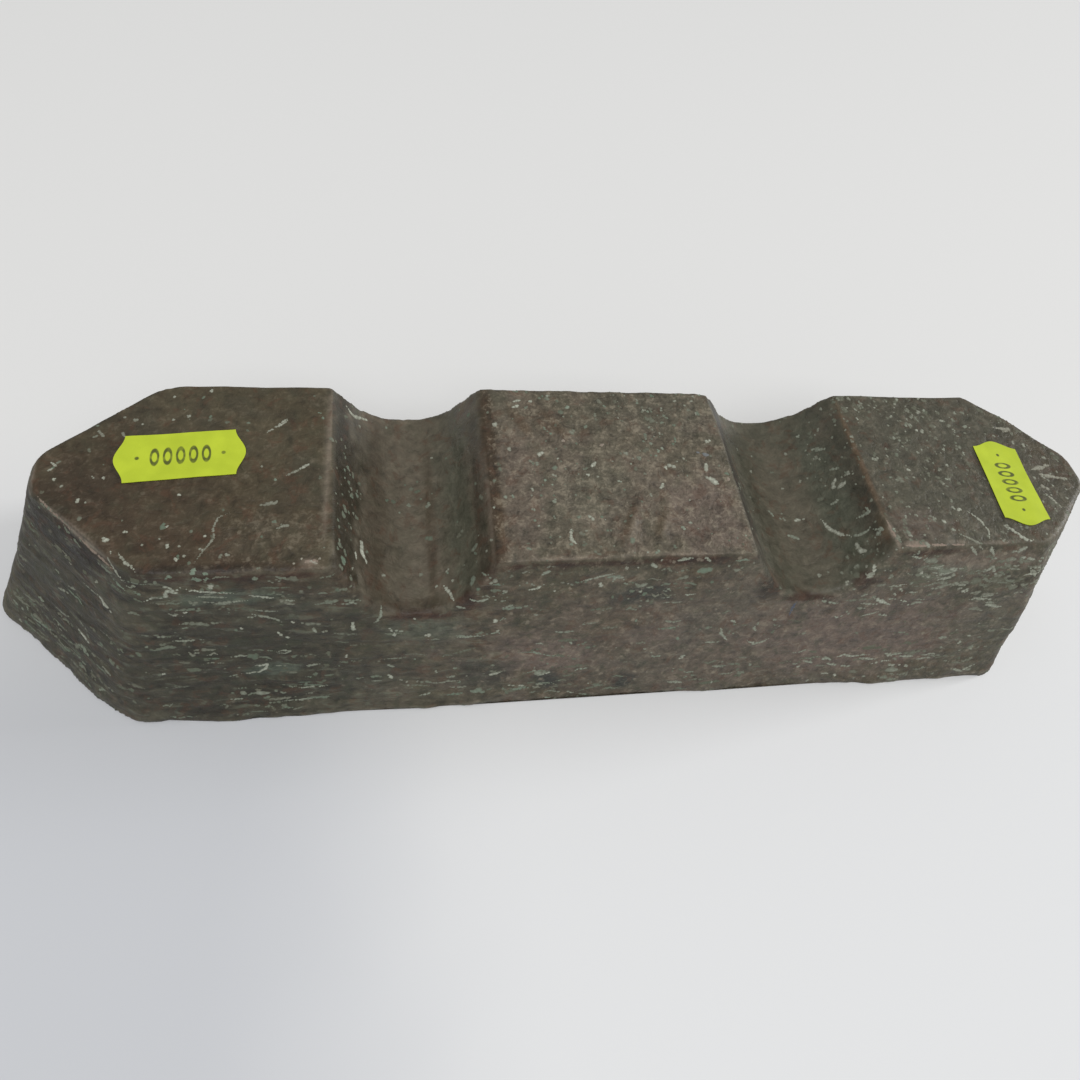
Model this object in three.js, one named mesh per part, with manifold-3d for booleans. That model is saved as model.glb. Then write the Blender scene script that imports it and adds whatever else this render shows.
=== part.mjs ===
// A notched, pointed-ended metal ingot, cast in one piece in an open mould, with two paper
// price labels stuck on its upper face. Millimetres, +Z up. The origin is at the middle of
// the base, +X runs along the length and +Y across it.
import * as THREE from 'three';
import { mergeVertices } from 'three/addons/utils/BufferGeometryUtils.js';
import Module from 'manifold-3d';

const wasm = await Module();
wasm.setup();

// Driving dimensions of the casting. An outline in plan is a rectangle with a point at each
// end: halfWidth is half its width, shoulder is where the sides turn in, and apex is where
// they would meet if the point were sharp.
const HEIGHT = 50.5;
const BASE = { halfWidth: 32.6, shoulder: 108.4, apex: 143.3, tipRadius: 7, shoulderRadius: 13 };
const TOP = { halfWidth: 24.1, shoulder: 101.0, apex: 126.8, tipRadius: 9.5, shoulderRadius: 9 };
const TOP_EDGE_RADIUS = 1.6;
const BASE_EDGE_RADIUS = 1.4;

// The two notches across the upper face. Each runs between a front and a back section:
// x is its centre line, halfWidth half its width at the upper face, depth its depth there.
const NOTCHES = [
  { front: { x: -46.2, halfWidth: 16.2, depth: 15.2 }, back: { x: -48.0, halfWidth: 17.4, depth: 15.2 } },
  { front: { x: 44.9, halfWidth: 17.0, depth: 13.6 }, back: { x: 44.9, halfWidth: 17.2, depth: 15.0 } },
];
const NOTCH_FLOOR_RADIUS = 13;
const NOTCH_SHOULDER_RADIUS = 2.2;

// The labels: straight sides, and ends that swell out in a wave.
const LABEL = { straight: 22, swell: 2, width: 12, thickness: 0.125 };
const LABEL_PLACES = [
  { name: 'label_left_end', x: -95.2, y: 4.1, turn: 5.7 },
  { name: 'label_right_end', x: 101.2, y: -4.5, turn: -94.6 },
];

const TIP_STEPS = 8;
const SHOULDER_STEPS = 5;
const EDGE_STEPS = 4;
const HALF_FLOOR_STEPS = 7;
const LABEL_WAVE_STEPS = 10;
const CUTTER_OVERHANG = 6;

// The outline between base and top at a given height, as straight draft all round.
function outlineAt(height) {
  const rise = height / HEIGHT;
  const outline = {};
  for (const key of Object.keys(BASE)) {
    outline[key] = THREE.MathUtils.lerp(BASE[key], TOP[key], rise);
  }
  return outline;
}

// The same outline with every side moved in by a distance, measured square to that side.
function insetOutline(outline, distance) {
  const run = outline.apex - outline.shoulder;
  const slantLength = Math.hypot(run, outline.halfWidth);
  const halfWidth = outline.halfWidth - distance;
  const apex = outline.apex - (distance * slantLength) / outline.halfWidth;
  const shoulder = apex - (halfWidth * run) / outline.halfWidth;
  return { ...outline, halfWidth, apex, shoulder };
}

// An arc that rounds one corner of a polygon, from the side before it to the side after it.
function roundedCorner(before, corner, after, radius, steps) {
  const inward = before.clone().sub(corner).normalize();
  const outward = after.clone().sub(corner).normalize();
  const halfAngle = Math.acos(THREE.MathUtils.clamp(inward.dot(outward), -1, 1)) / 2;
  const bisector = inward.clone().add(outward).normalize();
  const centre = corner.clone().addScaledVector(bisector, radius / Math.sin(halfAngle));
  const reach = radius / Math.tan(halfAngle);
  const start = corner.clone().addScaledVector(inward, reach).sub(centre).angle();
  const end = corner.clone().addScaledVector(outward, reach).sub(centre).angle();
  const sweep = THREE.MathUtils.euclideanModulo(end - start, 2 * Math.PI);
  const points = [];
  for (let step = 0; step <= steps; step += 1) {
    const angle = start + (sweep * step) / steps;
    points.push(new THREE.Vector2(Math.cos(angle), Math.sin(angle)).multiplyScalar(radius).add(centre));
  }
  return points;
}

// The plan outline as a ring of points, anticlockwise, with its six corners rounded.
function outlineRing({ halfWidth, shoulder, apex, tipRadius, shoulderRadius }) {
  const corners = [
    new THREE.Vector2(apex, 0),
    new THREE.Vector2(shoulder, halfWidth),
    new THREE.Vector2(-shoulder, halfWidth),
    new THREE.Vector2(-apex, 0),
    new THREE.Vector2(-shoulder, -halfWidth),
    new THREE.Vector2(shoulder, -halfWidth),
  ];
  return corners.flatMap((corner, index) => {
    const before = corners.at(index - 1);
    const after = corners[(index + 1) % corners.length];
    const isTip = index % 3 === 0;
    const radius = isTip ? tipRadius : shoulderRadius;
    return roundedCorner(before, corner, after, radius, isTip ? TIP_STEPS : SHOULDER_STEPS);
  });
}

// A closed skin over rings that all have the same number of points, with flat ends.
// flatten gives a ring's outline in a plane, anticlockwise seen from past the last ring.
function loft(rings, flatten) {
  const count = rings[0].length;
  const faces = [];
  for (let level = 0; level < rings.length - 1; level += 1) {
    for (let point = 0; point < count; point += 1) {
      const next = (point + 1) % count;
      const low = level * count;
      const high = low + count;
      faces.push(low + point, low + next, high + next, low + point, high + next, high + point);
    }
  }
  const lastRing = (rings.length - 1) * count;
  for (const [a, b, c] of THREE.ShapeUtils.triangulateShape(rings[0].map(flatten), [])) {
    faces.push(c, b, a);
  }
  for (const [a, b, c] of THREE.ShapeUtils.triangulateShape(rings.at(-1).map(flatten), [])) {
    faces.push(lastRing + a, lastRing + b, lastRing + c);
  }
  const geometry = new THREE.BufferGeometry();
  const positions = rings.flat().flatMap((point) => point.toArray());
  geometry.setAttribute('position', new THREE.Float32BufferAttribute(positions, 3));
  geometry.setIndex(faces);
  return geometry;
}

// The casting before it is notched: drafted sides, a small round at the base and a larger
// one round the upper face.
function castingBlank() {
  const levels = [];
  for (let step = 0; step <= EDGE_STEPS; step += 1) {
    const angle = (step / EDGE_STEPS) * (Math.PI / 2);
    levels.push({
      height: BASE_EDGE_RADIUS * (1 - Math.cos(angle)),
      inset: BASE_EDGE_RADIUS * (1 - Math.sin(angle)),
    });
  }
  for (let step = 0; step <= EDGE_STEPS; step += 1) {
    const angle = (step / EDGE_STEPS) * (Math.PI / 2);
    levels.push({
      height: HEIGHT - TOP_EDGE_RADIUS * (1 - Math.sin(angle)),
      inset: TOP_EDGE_RADIUS * (1 - Math.cos(angle)),
    });
  }
  const rings = levels.map(({ height, inset }) => {
    const ring = outlineRing(insetOutline(outlineAt(height), inset));
    return ring.map(({ x, y }) => new THREE.Vector3(x, y, height));
  });
  return loft(rings, ({ x, y }) => new THREE.Vector2(x, y));
}

// One half of a notch's section, from its floor up its wall and over its rounded shoulder:
// x from the centre line, y from the upper face.
function halfNotchSection({ halfWidth, depth }) {
  const floorCentre = new THREE.Vector2(0, NOTCH_FLOOR_RADIUS - depth);
  const rim = new THREE.Vector2(halfWidth, 0);
  const toRim = rim.clone().sub(floorCentre);
  const floorMiddle = -Math.PI / 2;
  const wallFoot = Math.atan2(toRim.y, toRim.x) - Math.acos(NOTCH_FLOOR_RADIUS / toRim.length());
  const points = [];
  for (let step = 0; step <= HALF_FLOOR_STEPS; step += 1) {
    const angle = THREE.MathUtils.lerp(floorMiddle, wallFoot, step / HALF_FLOOR_STEPS);
    const offset = new THREE.Vector2(Math.cos(angle), Math.sin(angle)).multiplyScalar(NOTCH_FLOOR_RADIUS);
    points.push(offset.add(floorCentre));
  }
  const wallPoint = points.at(-1);
  const land = new THREE.Vector2(halfWidth + CUTTER_OVERHANG, 0);
  const shoulder = roundedCorner(land, rim, wallPoint, NOTCH_SHOULDER_RADIUS, EDGE_STEPS);
  return points.concat(shoulder.reverse());
}

// A cutter for one notch, from in front of the casting to behind it.
function notchCutter({ front, back }) {
  const reach = BASE.halfWidth + CUTTER_OVERHANG;
  const rings = [-reach, reach].map((y) => {
    const across = (y + BASE.halfWidth) / (2 * BASE.halfWidth);
    const section = {};
    for (const key of Object.keys(front)) {
      section[key] = THREE.MathUtils.lerp(front[key], back[key], across);
    }
    const half = halfNotchSection(section);
    const above = new THREE.Vector2(half.at(-1).x, CUTTER_OVERHANG);
    const right = [...half, above];
    const left = right.slice(1).reverse().map((point) => new THREE.Vector2(-point.x, point.y));
    return [...left, ...right].map((point) => new THREE.Vector3(section.x + point.x, y, HEIGHT + point.y));
  });
  return loft(rings.reverse(), ({ x, z }) => new THREE.Vector2(x, z));
}

function toSolid(geometry) {
  const welded = geometry.clone();
  welded.deleteAttribute('normal');
  welded.deleteAttribute('uv');
  const { attributes, index } = mergeVertices(welded);
  const mesh = new wasm.Mesh({
    numProp: 3,
    vertProperties: new Float32Array(attributes.position.array),
    triVerts: new Uint32Array(index.array),
  });
  return new wasm.Manifold(mesh);
}

function toGeometry(solid) {
  const { vertProperties, triVerts } = solid.getMesh();
  const geometry = new THREE.BufferGeometry();
  geometry.setAttribute('position', new THREE.BufferAttribute(vertProperties, 3));
  geometry.setIndex(new THREE.BufferAttribute(triVerts, 1));
  geometry.computeVertexNormals();
  return geometry;
}

function castIngot() {
  const cutters = NOTCHES.map((notch) => toSolid(notchCutter(notch)));
  const solid = cutters.reduce((rest, cutter) => rest.subtract(cutter), toSolid(castingBlank()));
  const copper = new THREE.MeshStandardMaterial({ color: 0x5a4e43, roughness: 0.5, metalness: 0.55 });
  const ingot = new THREE.Mesh(toGeometry(solid), copper);
  ingot.name = 'ingot';
  return ingot;
}

// A label's outline: straight long sides, and each end swelling out as one smooth wave.
function labelShape() {
  const halfStraight = LABEL.straight / 2;
  const halfWidth = LABEL.width / 2;
  const points = [];
  for (const end of [1, -1]) {
    for (let step = 0; step <= LABEL_WAVE_STEPS; step += 1) {
      const along = -1 + (2 * step) / LABEL_WAVE_STEPS;
      const swell = (LABEL.swell * (1 + Math.cos(Math.PI * along))) / 2;
      points.push(new THREE.Vector2(end * (halfStraight + swell), end * along * halfWidth));
    }
  }
  return new THREE.Shape(points);
}

function priceLabel({ name, x, y, turn }) {
  const geometry = new THREE.ExtrudeGeometry(labelShape(), { depth: LABEL.thickness, bevelEnabled: false });
  const paper = new THREE.MeshStandardMaterial({ color: 0xbacc38, roughness: 0.6, metalness: 0 });
  const label = new THREE.Mesh(geometry, paper);
  label.name = name;
  label.position.set(x, y, HEIGHT);
  label.rotation.z = THREE.MathUtils.degToRad(turn);
  return label;
}

const part = new THREE.Group();
part.add(castIngot());
for (const place of LABEL_PLACES) {
  part.add(priceLabel(place));
}

export default part;
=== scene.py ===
"""Looks of a notched metal ingot: the weathered casting, its two price labels, and a plain studio."""

import logging
import math
from dataclasses import dataclass, field
from enum import Enum
from typing import Any, Callable, Iterator, Sequence

import bmesh
import bpy
import numpy as np
from mathutils import Matrix, Vector
from mathutils.bvhtree import BVHTree


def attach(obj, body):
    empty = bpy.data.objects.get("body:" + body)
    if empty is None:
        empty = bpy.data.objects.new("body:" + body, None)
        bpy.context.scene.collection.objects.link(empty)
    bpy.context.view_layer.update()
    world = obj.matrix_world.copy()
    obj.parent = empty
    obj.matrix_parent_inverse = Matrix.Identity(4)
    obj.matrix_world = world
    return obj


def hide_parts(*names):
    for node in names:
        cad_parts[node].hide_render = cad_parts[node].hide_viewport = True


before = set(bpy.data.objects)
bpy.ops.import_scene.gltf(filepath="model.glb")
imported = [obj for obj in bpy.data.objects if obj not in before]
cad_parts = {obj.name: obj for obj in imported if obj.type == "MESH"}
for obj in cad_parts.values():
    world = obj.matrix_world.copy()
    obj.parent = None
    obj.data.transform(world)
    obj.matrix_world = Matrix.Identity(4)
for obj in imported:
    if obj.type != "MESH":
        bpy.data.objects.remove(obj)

LOG = logging.getLogger("ingot")
MM = 0.001
WEIGHT_STEPS = 50
LATTICE_CELLS = 32
LATTICE_SHIFT = 100.0
Colour = tuple[float, float, float]
Place = tuple[float, float, float]


def srgb(*levels: float) -> Colour:
    """Returns a linear colour from sRGB levels of red, green and blue of 0 to 255."""
    shares = (level / 255 for level in levels)
    return tuple(share / 12.92 if share <= 0.04045 else ((share + 0.055) / 1.055) ** 2.4 for share in shares)


# ---------------------------------------------------------------------------------------
# Editing helpers


def deselect_all() -> None:
    """Leaves no object selected and none active."""
    if bpy.context.object and bpy.context.object.mode != "OBJECT":
        bpy.ops.object.mode_set(mode="OBJECT")
    bpy.ops.object.select_all(action="DESELECT")
    bpy.context.view_layer.objects.active = None


def make_active(piece: bpy.types.Object) -> None:
    """Selects one object alone.

    Args:
        piece: The object that the next operators act on.
    """
    deselect_all()
    piece.select_set(True)
    bpy.context.view_layer.objects.active = piece


def apply_modifier(piece: bpy.types.Object, kind: str, **settings: Any) -> None:
    """Adds a modifier to a piece and applies it.

    Args:
        piece: The mesh object.
        kind: The modifier's type.
        **settings: Its properties.
    """
    make_active(piece)
    modifier = piece.modifiers.new(kind.lower(), kind)
    for name, value in settings.items():
        setattr(modifier, name, value)
    bpy.ops.object.modifier_apply(modifier=modifier.name)


def settle(piece: bpy.types.Object) -> None:
    """Puts an object's place, turn and size into its mesh."""
    make_active(piece)
    bpy.ops.object.transform_apply(location=True, rotation=True, scale=True)


def select_edges(piece: bpy.types.Object, test: Callable[[Vector, Vector], bool]) -> None:
    """In edit mode, selects just the edges whose two ends pass a test.

    Args:
        piece: The object being edited.
        test: A function of the edge's two end points that returns True to select it.
    """
    bpy.ops.mesh.select_all(action="DESELECT")
    mesh = bmesh.from_edit_mesh(piece.data)
    for edge in mesh.edges:
        if test(edge.verts[0].co, edge.verts[1].co):
            edge.select_set(True)
    bmesh.update_edit_mesh(piece.data)


# ---------------------------------------------------------------------------------------
# Shader maths


class Wire:
    """A socket's value that Python operators turn into Math nodes."""

    def __init__(self, sheet: "NodeSheet", socket: bpy.types.NodeSocket) -> None:
        """Wraps an output socket of a sheet."""
        self.sheet = sheet
        self.socket = socket

    def _math(self, operation: str, *values: Any, clamp: bool = False) -> "Wire":
        """Adds one Math node for this value and the others."""
        settings = {"operation": operation, "use_clamp": clamp}
        return self.sheet.node("ShaderNodeMath", settings, *values)

    def __add__(self, other: Any) -> "Wire":
        """Returns the sum."""
        return self._math("ADD", self, other)

    __radd__ = __add__

    def __mul__(self, other: Any) -> "Wire":
        """Returns the product."""
        return self._math("MULTIPLY", self, other)

    __rmul__ = __mul__

    def __sub__(self, other: Any) -> "Wire":
        """Returns this less the other."""
        return self._math("SUBTRACT", self, other)

    def __rsub__(self, other: Any) -> "Wire":
        """Returns the other less this."""
        return self._math("SUBTRACT", other, self)

    def __truediv__(self, other: Any) -> "Wire":
        """Returns this over the other."""
        return self._math("DIVIDE", self, other)

    def __pow__(self, other: Any) -> "Wire":
        """Returns this to a power."""
        return self._math("POWER", self, other)

    def clamped(self) -> "Wire":
        """Returns the value held between 0 and 1."""
        return self._math("ADD", self, 0.0, clamp=True)

    def absolute(self) -> "Wire":
        """Returns the value without its sign."""
        return self._math("ABSOLUTE", self)

    def maximum(self, other: Any) -> "Wire":
        """Returns the larger of two values."""
        return self._math("MAXIMUM", self, other)

    def step(self, low: float, high: float) -> "Wire":
        """Returns a smooth step from 0 at low to 1 at high, either way round."""
        limits = (low, high, 0.0, 1.0) if low < high else (high, low, 1.0, 0.0)
        return self.sheet.node("ShaderNodeMapRange", {"interpolation_type": "SMOOTHSTEP"}, self, *limits)


class NodeSheet:
    """A material's node tree, with a Principled shader and one way to add nodes."""

    def __init__(self, name: str) -> None:
        """Makes an empty material.

        Args:
            name: The material's name.
        """
        self.material = bpy.data.materials.new(name)
        self.material.use_nodes = True
        self.nodes = self.material.node_tree.nodes
        self.links = self.material.node_tree.links
        self.shader = next(n for n in self.nodes if n.type == "BSDF_PRINCIPLED")

    def node(self, kind: str, settings: dict[str, Any] | None = None, *values: Any, out: Any = 0,
             **named: Any) -> Wire:
        """Adds a node.

        Args:
            kind: The node's type.
            settings: Its own properties, set before its sockets.
            *values: Numbers, colours or wires for its first sockets in order.
            out: The output to return, by place or name.
            **named: Numbers, colours or wires for sockets by name, with _ for a space.

        Returns:
            The chosen output.
        """
        made = self.nodes.new(kind)
        for name, value in (settings or {}).items():
            setattr(made, name, value)
        for place, value in enumerate(values):
            self.feed(made.inputs[place], value)
        for name, value in named.items():
            self.feed(self.socket(made.inputs, name.replace("_", " ")), value)
        return Wire(self, made.outputs[out] if isinstance(out, int) else self.socket(made.outputs, out))

    @staticmethod
    def socket(sockets: Any, name: str) -> bpy.types.NodeSocket:
        """Returns the enabled socket of that name."""
        return next(s for s in sockets if s.name == name and s.enabled)

    def feed(self, socket: bpy.types.NodeSocket, value: Any) -> None:
        """Links a wire to a socket, or sets its value.

        Args:
            socket: The input.
            value: A wire, a number, a colour or a vector.
        """
        if isinstance(value, Wire):
            self.links.new(value.socket, socket)
        elif isinstance(value, tuple) and len(value) == 3 and socket.type == "RGBA":
            socket.default_value = (*value, 1.0)
        else:
            socket.default_value = value

    def place(self, scale: Place = (1, 1, 1), shift: Place = (0, 0, 0)) -> Wire:
        """Returns object coordinates in millimetres.

        Args:
            scale: How much they are stretched along each axis.
            shift: How far they are moved, in millimetres.

        Returns:
            The coordinates.
        """
        here = self.node("ShaderNodeTexCoord", out="Object")
        size = tuple(share / MM for share in scale)
        return self.node("ShaderNodeMapping", None, Vector=here, Scale=size, Location=shift)

    def noise(self, at: Wire, size: float, detail: float = 2.0, rough: float = 0.5,
              warp: float = 0.0) -> Wire:
        """Returns smooth noise from 0 to 1 whose lumps are about size millimetres."""
        return self.node("ShaderNodeTexNoise", None, Vector=at, Scale=1.0 / size, Detail=detail,
                         Roughness=rough, Distortion=warp)

    def spots(self, at: Wire, size: float, out: str = "Distance") -> Wire:
        """Returns a Voronoi pattern with cells of about size millimetres."""
        return self.node("ShaderNodeTexVoronoi", None, Vector=at, Scale=1.0 / size, out=out)

    def attribute(self, name: str) -> Wire:
        """Returns a number painted on the mesh."""
        return self.node("ShaderNodeAttribute", {"attribute_name": name}, out="Fac")

    def mix(self, factor: Any, first: Any, second: Any) -> Wire:
        """Returns a colour between two colours."""
        return self.node("ShaderNodeMix", {"data_type": "RGBA"}, out="Result",
                         Factor=factor, A=first, B=second)

    def bump(self, height: Wire, distance: float, strength: float) -> Wire:
        """Returns a normal bent by a height whose 0 to 1 is distance in millimetres."""
        return self.node("ShaderNodeBump", None, Height=height, Distance=distance * MM, Strength=strength)

    def finish(self, **sockets: Any) -> bpy.types.Material:
        """Feeds the Principled shader.

        Args:
            **sockets: Numbers, colours or wires for its sockets by name, with _ for a space.

        Returns:
            The material.
        """
        for name, value in sockets.items():
            self.feed(self.shader.inputs[name.replace("_", " ")], value)
        return self.material


# ---------------------------------------------------------------------------------------
# Numbers on vertices


def ramp(values: np.ndarray, low: float, high: float) -> np.ndarray:
    """Returns a smooth step from 0 at low to 1 at high, either way round."""
    share = np.clip((values - low) / (high - low), 0.0, 1.0)
    return share * share * (3.0 - 2.0 * share)


def lumps(spots: np.ndarray, size: float, seed: int) -> np.ndarray:
    """Makes smooth noise at a number of places.

    Args:
        spots: The places, one row each.
        size: How large the lumps are, in the places' unit.
        seed: Which pattern.

    Returns:
        A value of 0 to 1 for each place.
    """
    lattice = np.random.default_rng(seed).random((LATTICE_CELLS,) * 3)
    at = spots / size + LATTICE_SHIFT
    cell = np.floor(at).astype(int)
    share = ramp(at - cell, 0.0, 1.0)
    total = np.zeros(len(spots))
    for corner in np.ndindex(2, 2, 2):
        weight = np.prod(np.where(np.array(corner) == 1, share, 1.0 - share), axis=1)
        picked = (cell + np.array(corner)) % LATTICE_CELLS
        total += weight * lattice[picked[:, 0], picked[:, 1], picked[:, 2]]
    return total


def read_rows(items: Any, name: str, width: int, kind: type = float) -> np.ndarray:
    """Reads one property of every vertex or edge.

    Args:
        items: The vertices, normals or edges.
        name: The property.
        width: How many numbers it has.
        kind: What kind of numbers they are.

    Returns:
        One row for each item.
    """
    flat = np.empty(len(items) * width, dtype=kind)
    items.foreach_get(name, flat)
    return flat.reshape(-1, width)


def vertex_places(piece: bpy.types.Object) -> np.ndarray:
    """Returns the vertices' places, one row each."""
    return read_rows(piece.data.vertices, "co", 3)


def vertex_normals(piece: bpy.types.Object) -> np.ndarray:
    """Returns the vertices' normals, one row each."""
    return read_rows(piece.data.vertex_normals, "vector", 3, np.float32).astype(float)


def edge_ends(piece: bpy.types.Object) -> np.ndarray:
    """Returns the two vertices of every edge, one row each."""
    return read_rows(piece.data.edges, "vertices", 2, np.int32)


def spread(values: np.ndarray, ends: np.ndarray, rounds: int) -> np.ndarray:
    """Averages each vertex's value with its neighbours'.

    Args:
        values: One value for each vertex.
        ends: The two vertices of every edge.
        rounds: How many times.

    Returns:
        The averaged values.
    """
    count = np.bincount(ends.ravel(), minlength=len(values)) + 1.0
    for _ in range(rounds):
        total = values.copy()
        for near, far in ((0, 1), (1, 0)):
            total += np.bincount(ends[:, near], weights=values[ends[:, far]], minlength=len(values))
        values = total / count
    return values


def curvature(piece: bpy.types.Object, rounds: int) -> np.ndarray:
    """Finds how far each vertex stands out of its surroundings.

    Args:
        piece: The object.
        rounds: How many neighbours deep the surroundings are.

    Returns:
        Millimetres, above 0 on a ridge.
    """
    spots = vertex_places(piece)
    ends = edge_ends(piece)
    smooth = np.stack([spread(spots[:, axis], ends, rounds) for axis in range(3)], axis=1)
    return np.einsum("ij,ij->i", spots - smooth, vertex_normals(piece)) / MM


def set_group(piece: bpy.types.Object, name: str, weights: np.ndarray) -> None:
    """Sets a vertex group's weights, in steps.

    Args:
        piece: The object.
        name: The group, which is made if it isn't there.
        weights: One weight of 0 to 1 for each vertex.
    """
    group = piece.vertex_groups.get(name) or piece.vertex_groups.new(name=name)
    levels = np.round(np.clip(weights, 0, 1) * WEIGHT_STEPS).astype(int)
    group.remove(list(range(len(weights))))
    for level in np.unique(levels[levels > 0]):
        group.add(np.flatnonzero(levels == level).tolist(), level / WEIGHT_STEPS, "REPLACE")


def store(piece: bpy.types.Object, name: str, values: np.ndarray) -> None:
    """Stores a number or a colour on every vertex.

    Args:
        piece: The object.
        name: The attribute's name.
        values: One number, or one row of three, for each vertex.
    """
    if values.ndim == 1:
        layer = piece.data.attributes.new(name, "FLOAT", "POINT")
        layer.data.foreach_set("value", values.astype(np.float32))
        return
    layer = piece.data.attributes.new(name, "FLOAT_COLOR", "POINT")
    full = np.column_stack((values, np.ones(len(values)))).astype(np.float32)
    layer.data.foreach_set("color", full.ravel())


# ---------------------------------------------------------------------------------------
# Finishes


class Tone(Enum):
    """The tones of old cast copper, as linear colours."""

    OLIVE = srgb(76, 68, 51)
    UMBER = srgb(66, 54, 40)
    BROWN = srgb(92, 76, 58)
    ROSE = srgb(105, 92, 83)
    SAND = srgb(98, 91, 77)
    STONE = srgb(84, 82, 69)
    SLATE = srgb(62, 59, 48)
    COAL = srgb(51, 48, 39)
    MOSS = srgb(47, 42, 27)
    TEAL = srgb(50, 54, 50)
    # a pale grey-green film, used also for painted light on some walls and edges
    VEIL = srgb(92, 104, 90)
    # a near-black brown, used for dark patina and, in some patches, for painted shade
    SOOT = srgb(42, 36, 29)
    RUST = srgb(58, 42, 32)
    WORN = srgb(132, 120, 106)


@dataclass(frozen=True)
class WeatheredCopper:
    """Old cast copper: the painted tones, broken up by grain, streaks, wear and dust."""

    # a dark brown for the pits and the hollows
    pit_and_hollow_dark: Colour = srgb(34, 31, 25)
    russet: Colour = srgb(88, 60, 44)
    moss: Colour = srgb(58, 64, 48)
    worn: Colour = srgb(140, 131, 114)
    dust: Colour = srgb(112, 122, 104)
    band_stretch: Place = (0.3, 0.3, 1.0)
    relief_height: float = 0.55
    relief_strength: float = 0.85

    def material(self) -> bpy.types.Material:
        """Makes the finish, which reads what is painted on the casting.

        Returns:
            The material.
        """
        sheet = NodeSheet("weathered_copper")
        tint = sheet.node("ShaderNodeAttribute", {"attribute_name": "tint"}, out="Color")
        side = sheet.attribute("side")
        ridge = sheet.attribute("ridge")
        hollow = sheet.attribute("hollow")
        sandy = sheet.attribute("sandy")

        rough_skin = (sandy + 0.6 * side).clamped()
        patch = sheet.noise(sheet.place(shift=(31, 7, 13)), 6.0, 4.0, 0.62, 0.3)
        stain = sheet.noise(sheet.place(shift=(2, 41, 17)), 3.8, 4.0, 0.65, 0.5)
        mottle = sheet.noise(sheet.place(shift=(3, 21, 8)), 2.4, 3.0, 0.62, 0.4)
        grit = sheet.noise(sheet.place(shift=(11, 2, 9)), 0.7, 2.0, 0.6)
        banded = sheet.attribute("banded")
        bands = sheet.noise(sheet.place(scale=self.band_stretch), 1.6, 3.0, 0.6, 0.6)
        grain = sheet.spots(sheet.place(shift=(5, 17, 3)), 0.8, out="Color") * 1.0
        grain_middle = sheet.spots(sheet.place(shift=(5, 17, 3)), 0.8)
        crumb = sheet.spots(sheet.place(shift=(7, 1, 33)), 2.0, out="Color") * 1.0
        crumb_middle = sheet.spots(sheet.place(shift=(7, 1, 33)), 2.0)

        value = (1.0 + (0.4 + 0.4 * rough_skin) * (patch - 0.5) + (1.1 + 0.5 * rough_skin) * (mottle - 0.5)
                 + 1.0 * banded * (bands - 0.5)
                 + (0.08 + 0.25 * sandy) * (grain - 0.5) + (0.16 + 0.5 * sandy) * (grit - 0.5))
        colour = sheet.node("ShaderNodeVectorMath", {"operation": "SCALE"}, tint, Scale=value)
        colour = sheet.mix((stain.step(0.53, 0.66) * 0.34).clamped(), colour, self.russet)
        mossy = stain.step(0.47, 0.34) * (0.2 + 0.2 * side)
        colour = sheet.mix(mossy.clamped(), colour, self.moss)
        pits = mottle.step(0.42, 0.28) * 0.15 + bands.step(0.45, 0.33) * banded * 0.28
        colour = sheet.mix(pits.clamped(), colour, self.pit_and_hollow_dark)
        # darker in the hollows, by how far the surface curves inward
        colour = sheet.mix((hollow * (0.36 - 0.24 * sandy)).clamped(), colour, self.pit_and_hollow_dark)
        crest = (mottle + 0.5 * (grit - 0.5)).step(0.55, 0.7) * (0.05 + 0.34 * sandy)
        colour = sheet.mix(crest, colour, self.worn)
        fine = grain.step(0.6, 0.7) * grain_middle.step(0.42, 0.2) * (0.03 + 0.16 * sandy)
        coarse = crumb.step(0.66, 0.74) * (crumb_middle + 0.5 * (grit - 0.5)).step(0.32, 0.16)
        coarse = coarse * mottle.step(0.42, 0.56) * (0.1 + 0.5 * sandy + 0.16 * side)
        colour = sheet.mix((fine + coarse).clamped(), colour, self.worn)
        rub = (ridge * mottle.step(0.36, 0.56)).clamped()
        colour = sheet.mix(rub * 0.14, colour, self.worn)
        film = bands.step(0.54, 0.66) * banded * stain.step(0.42, 0.56)
        colour = sheet.mix((film * 0.3).clamped(), colour, self.dust)

        rough = 0.52 + 0.3 * (patch - 0.5) + 0.3 * (mottle - 0.5) - 0.06 * rub + 0.1 * rough_skin
        relief = (mottle * (0.8 + 0.7 * sandy) - grain_middle * (0.03 + 0.1 * sandy)
                  + grit * (0.08 + 0.1 * sandy) + bands * banded * 0.8)
        normal = sheet.bump(relief, self.relief_height, self.relief_strength)
        return sheet.finish(Base_Color=colour, Roughness=rough.clamped(), Normal=normal,
                            Specular_IOR_Level=0.34)


@dataclass(frozen=True)
class Verdigris:
    """The dry pale crust that copper grows, from grey-white to green."""

    white: Colour = srgb(206, 210, 194)
    dull: Colour = srgb(86, 84, 70)
    green: Colour = srgb(104, 130, 112)
    pink: Colour = srgb(150, 126, 114)
    blue: Colour = srgb(50, 56, 84)

    def material(self) -> bpy.types.Material:
        """Makes the finish, which reads each fleck's own tone.

        Returns:
            The material.
        """
        sheet = NodeSheet("verdigris")
        grit = sheet.noise(sheet.place(), 0.4, 2.0, 0.6)
        pale = sheet.attribute("pale") * (0.7 + 0.3 * grit.step(0.35, 0.55))
        colour = sheet.mix(pale.clamped(), self.dull, self.white)
        colour = sheet.mix(sheet.attribute("green"), colour, self.green)
        colour = sheet.mix(sheet.attribute("pink"), colour, self.pink)
        colour = sheet.mix(sheet.attribute("blue"), colour, self.blue)
        normal = sheet.bump(grit, 0.06, 0.6)
        return sheet.finish(Base_Color=colour, Roughness=0.8, Normal=normal, Specular_IOR_Level=0.2)


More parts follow.
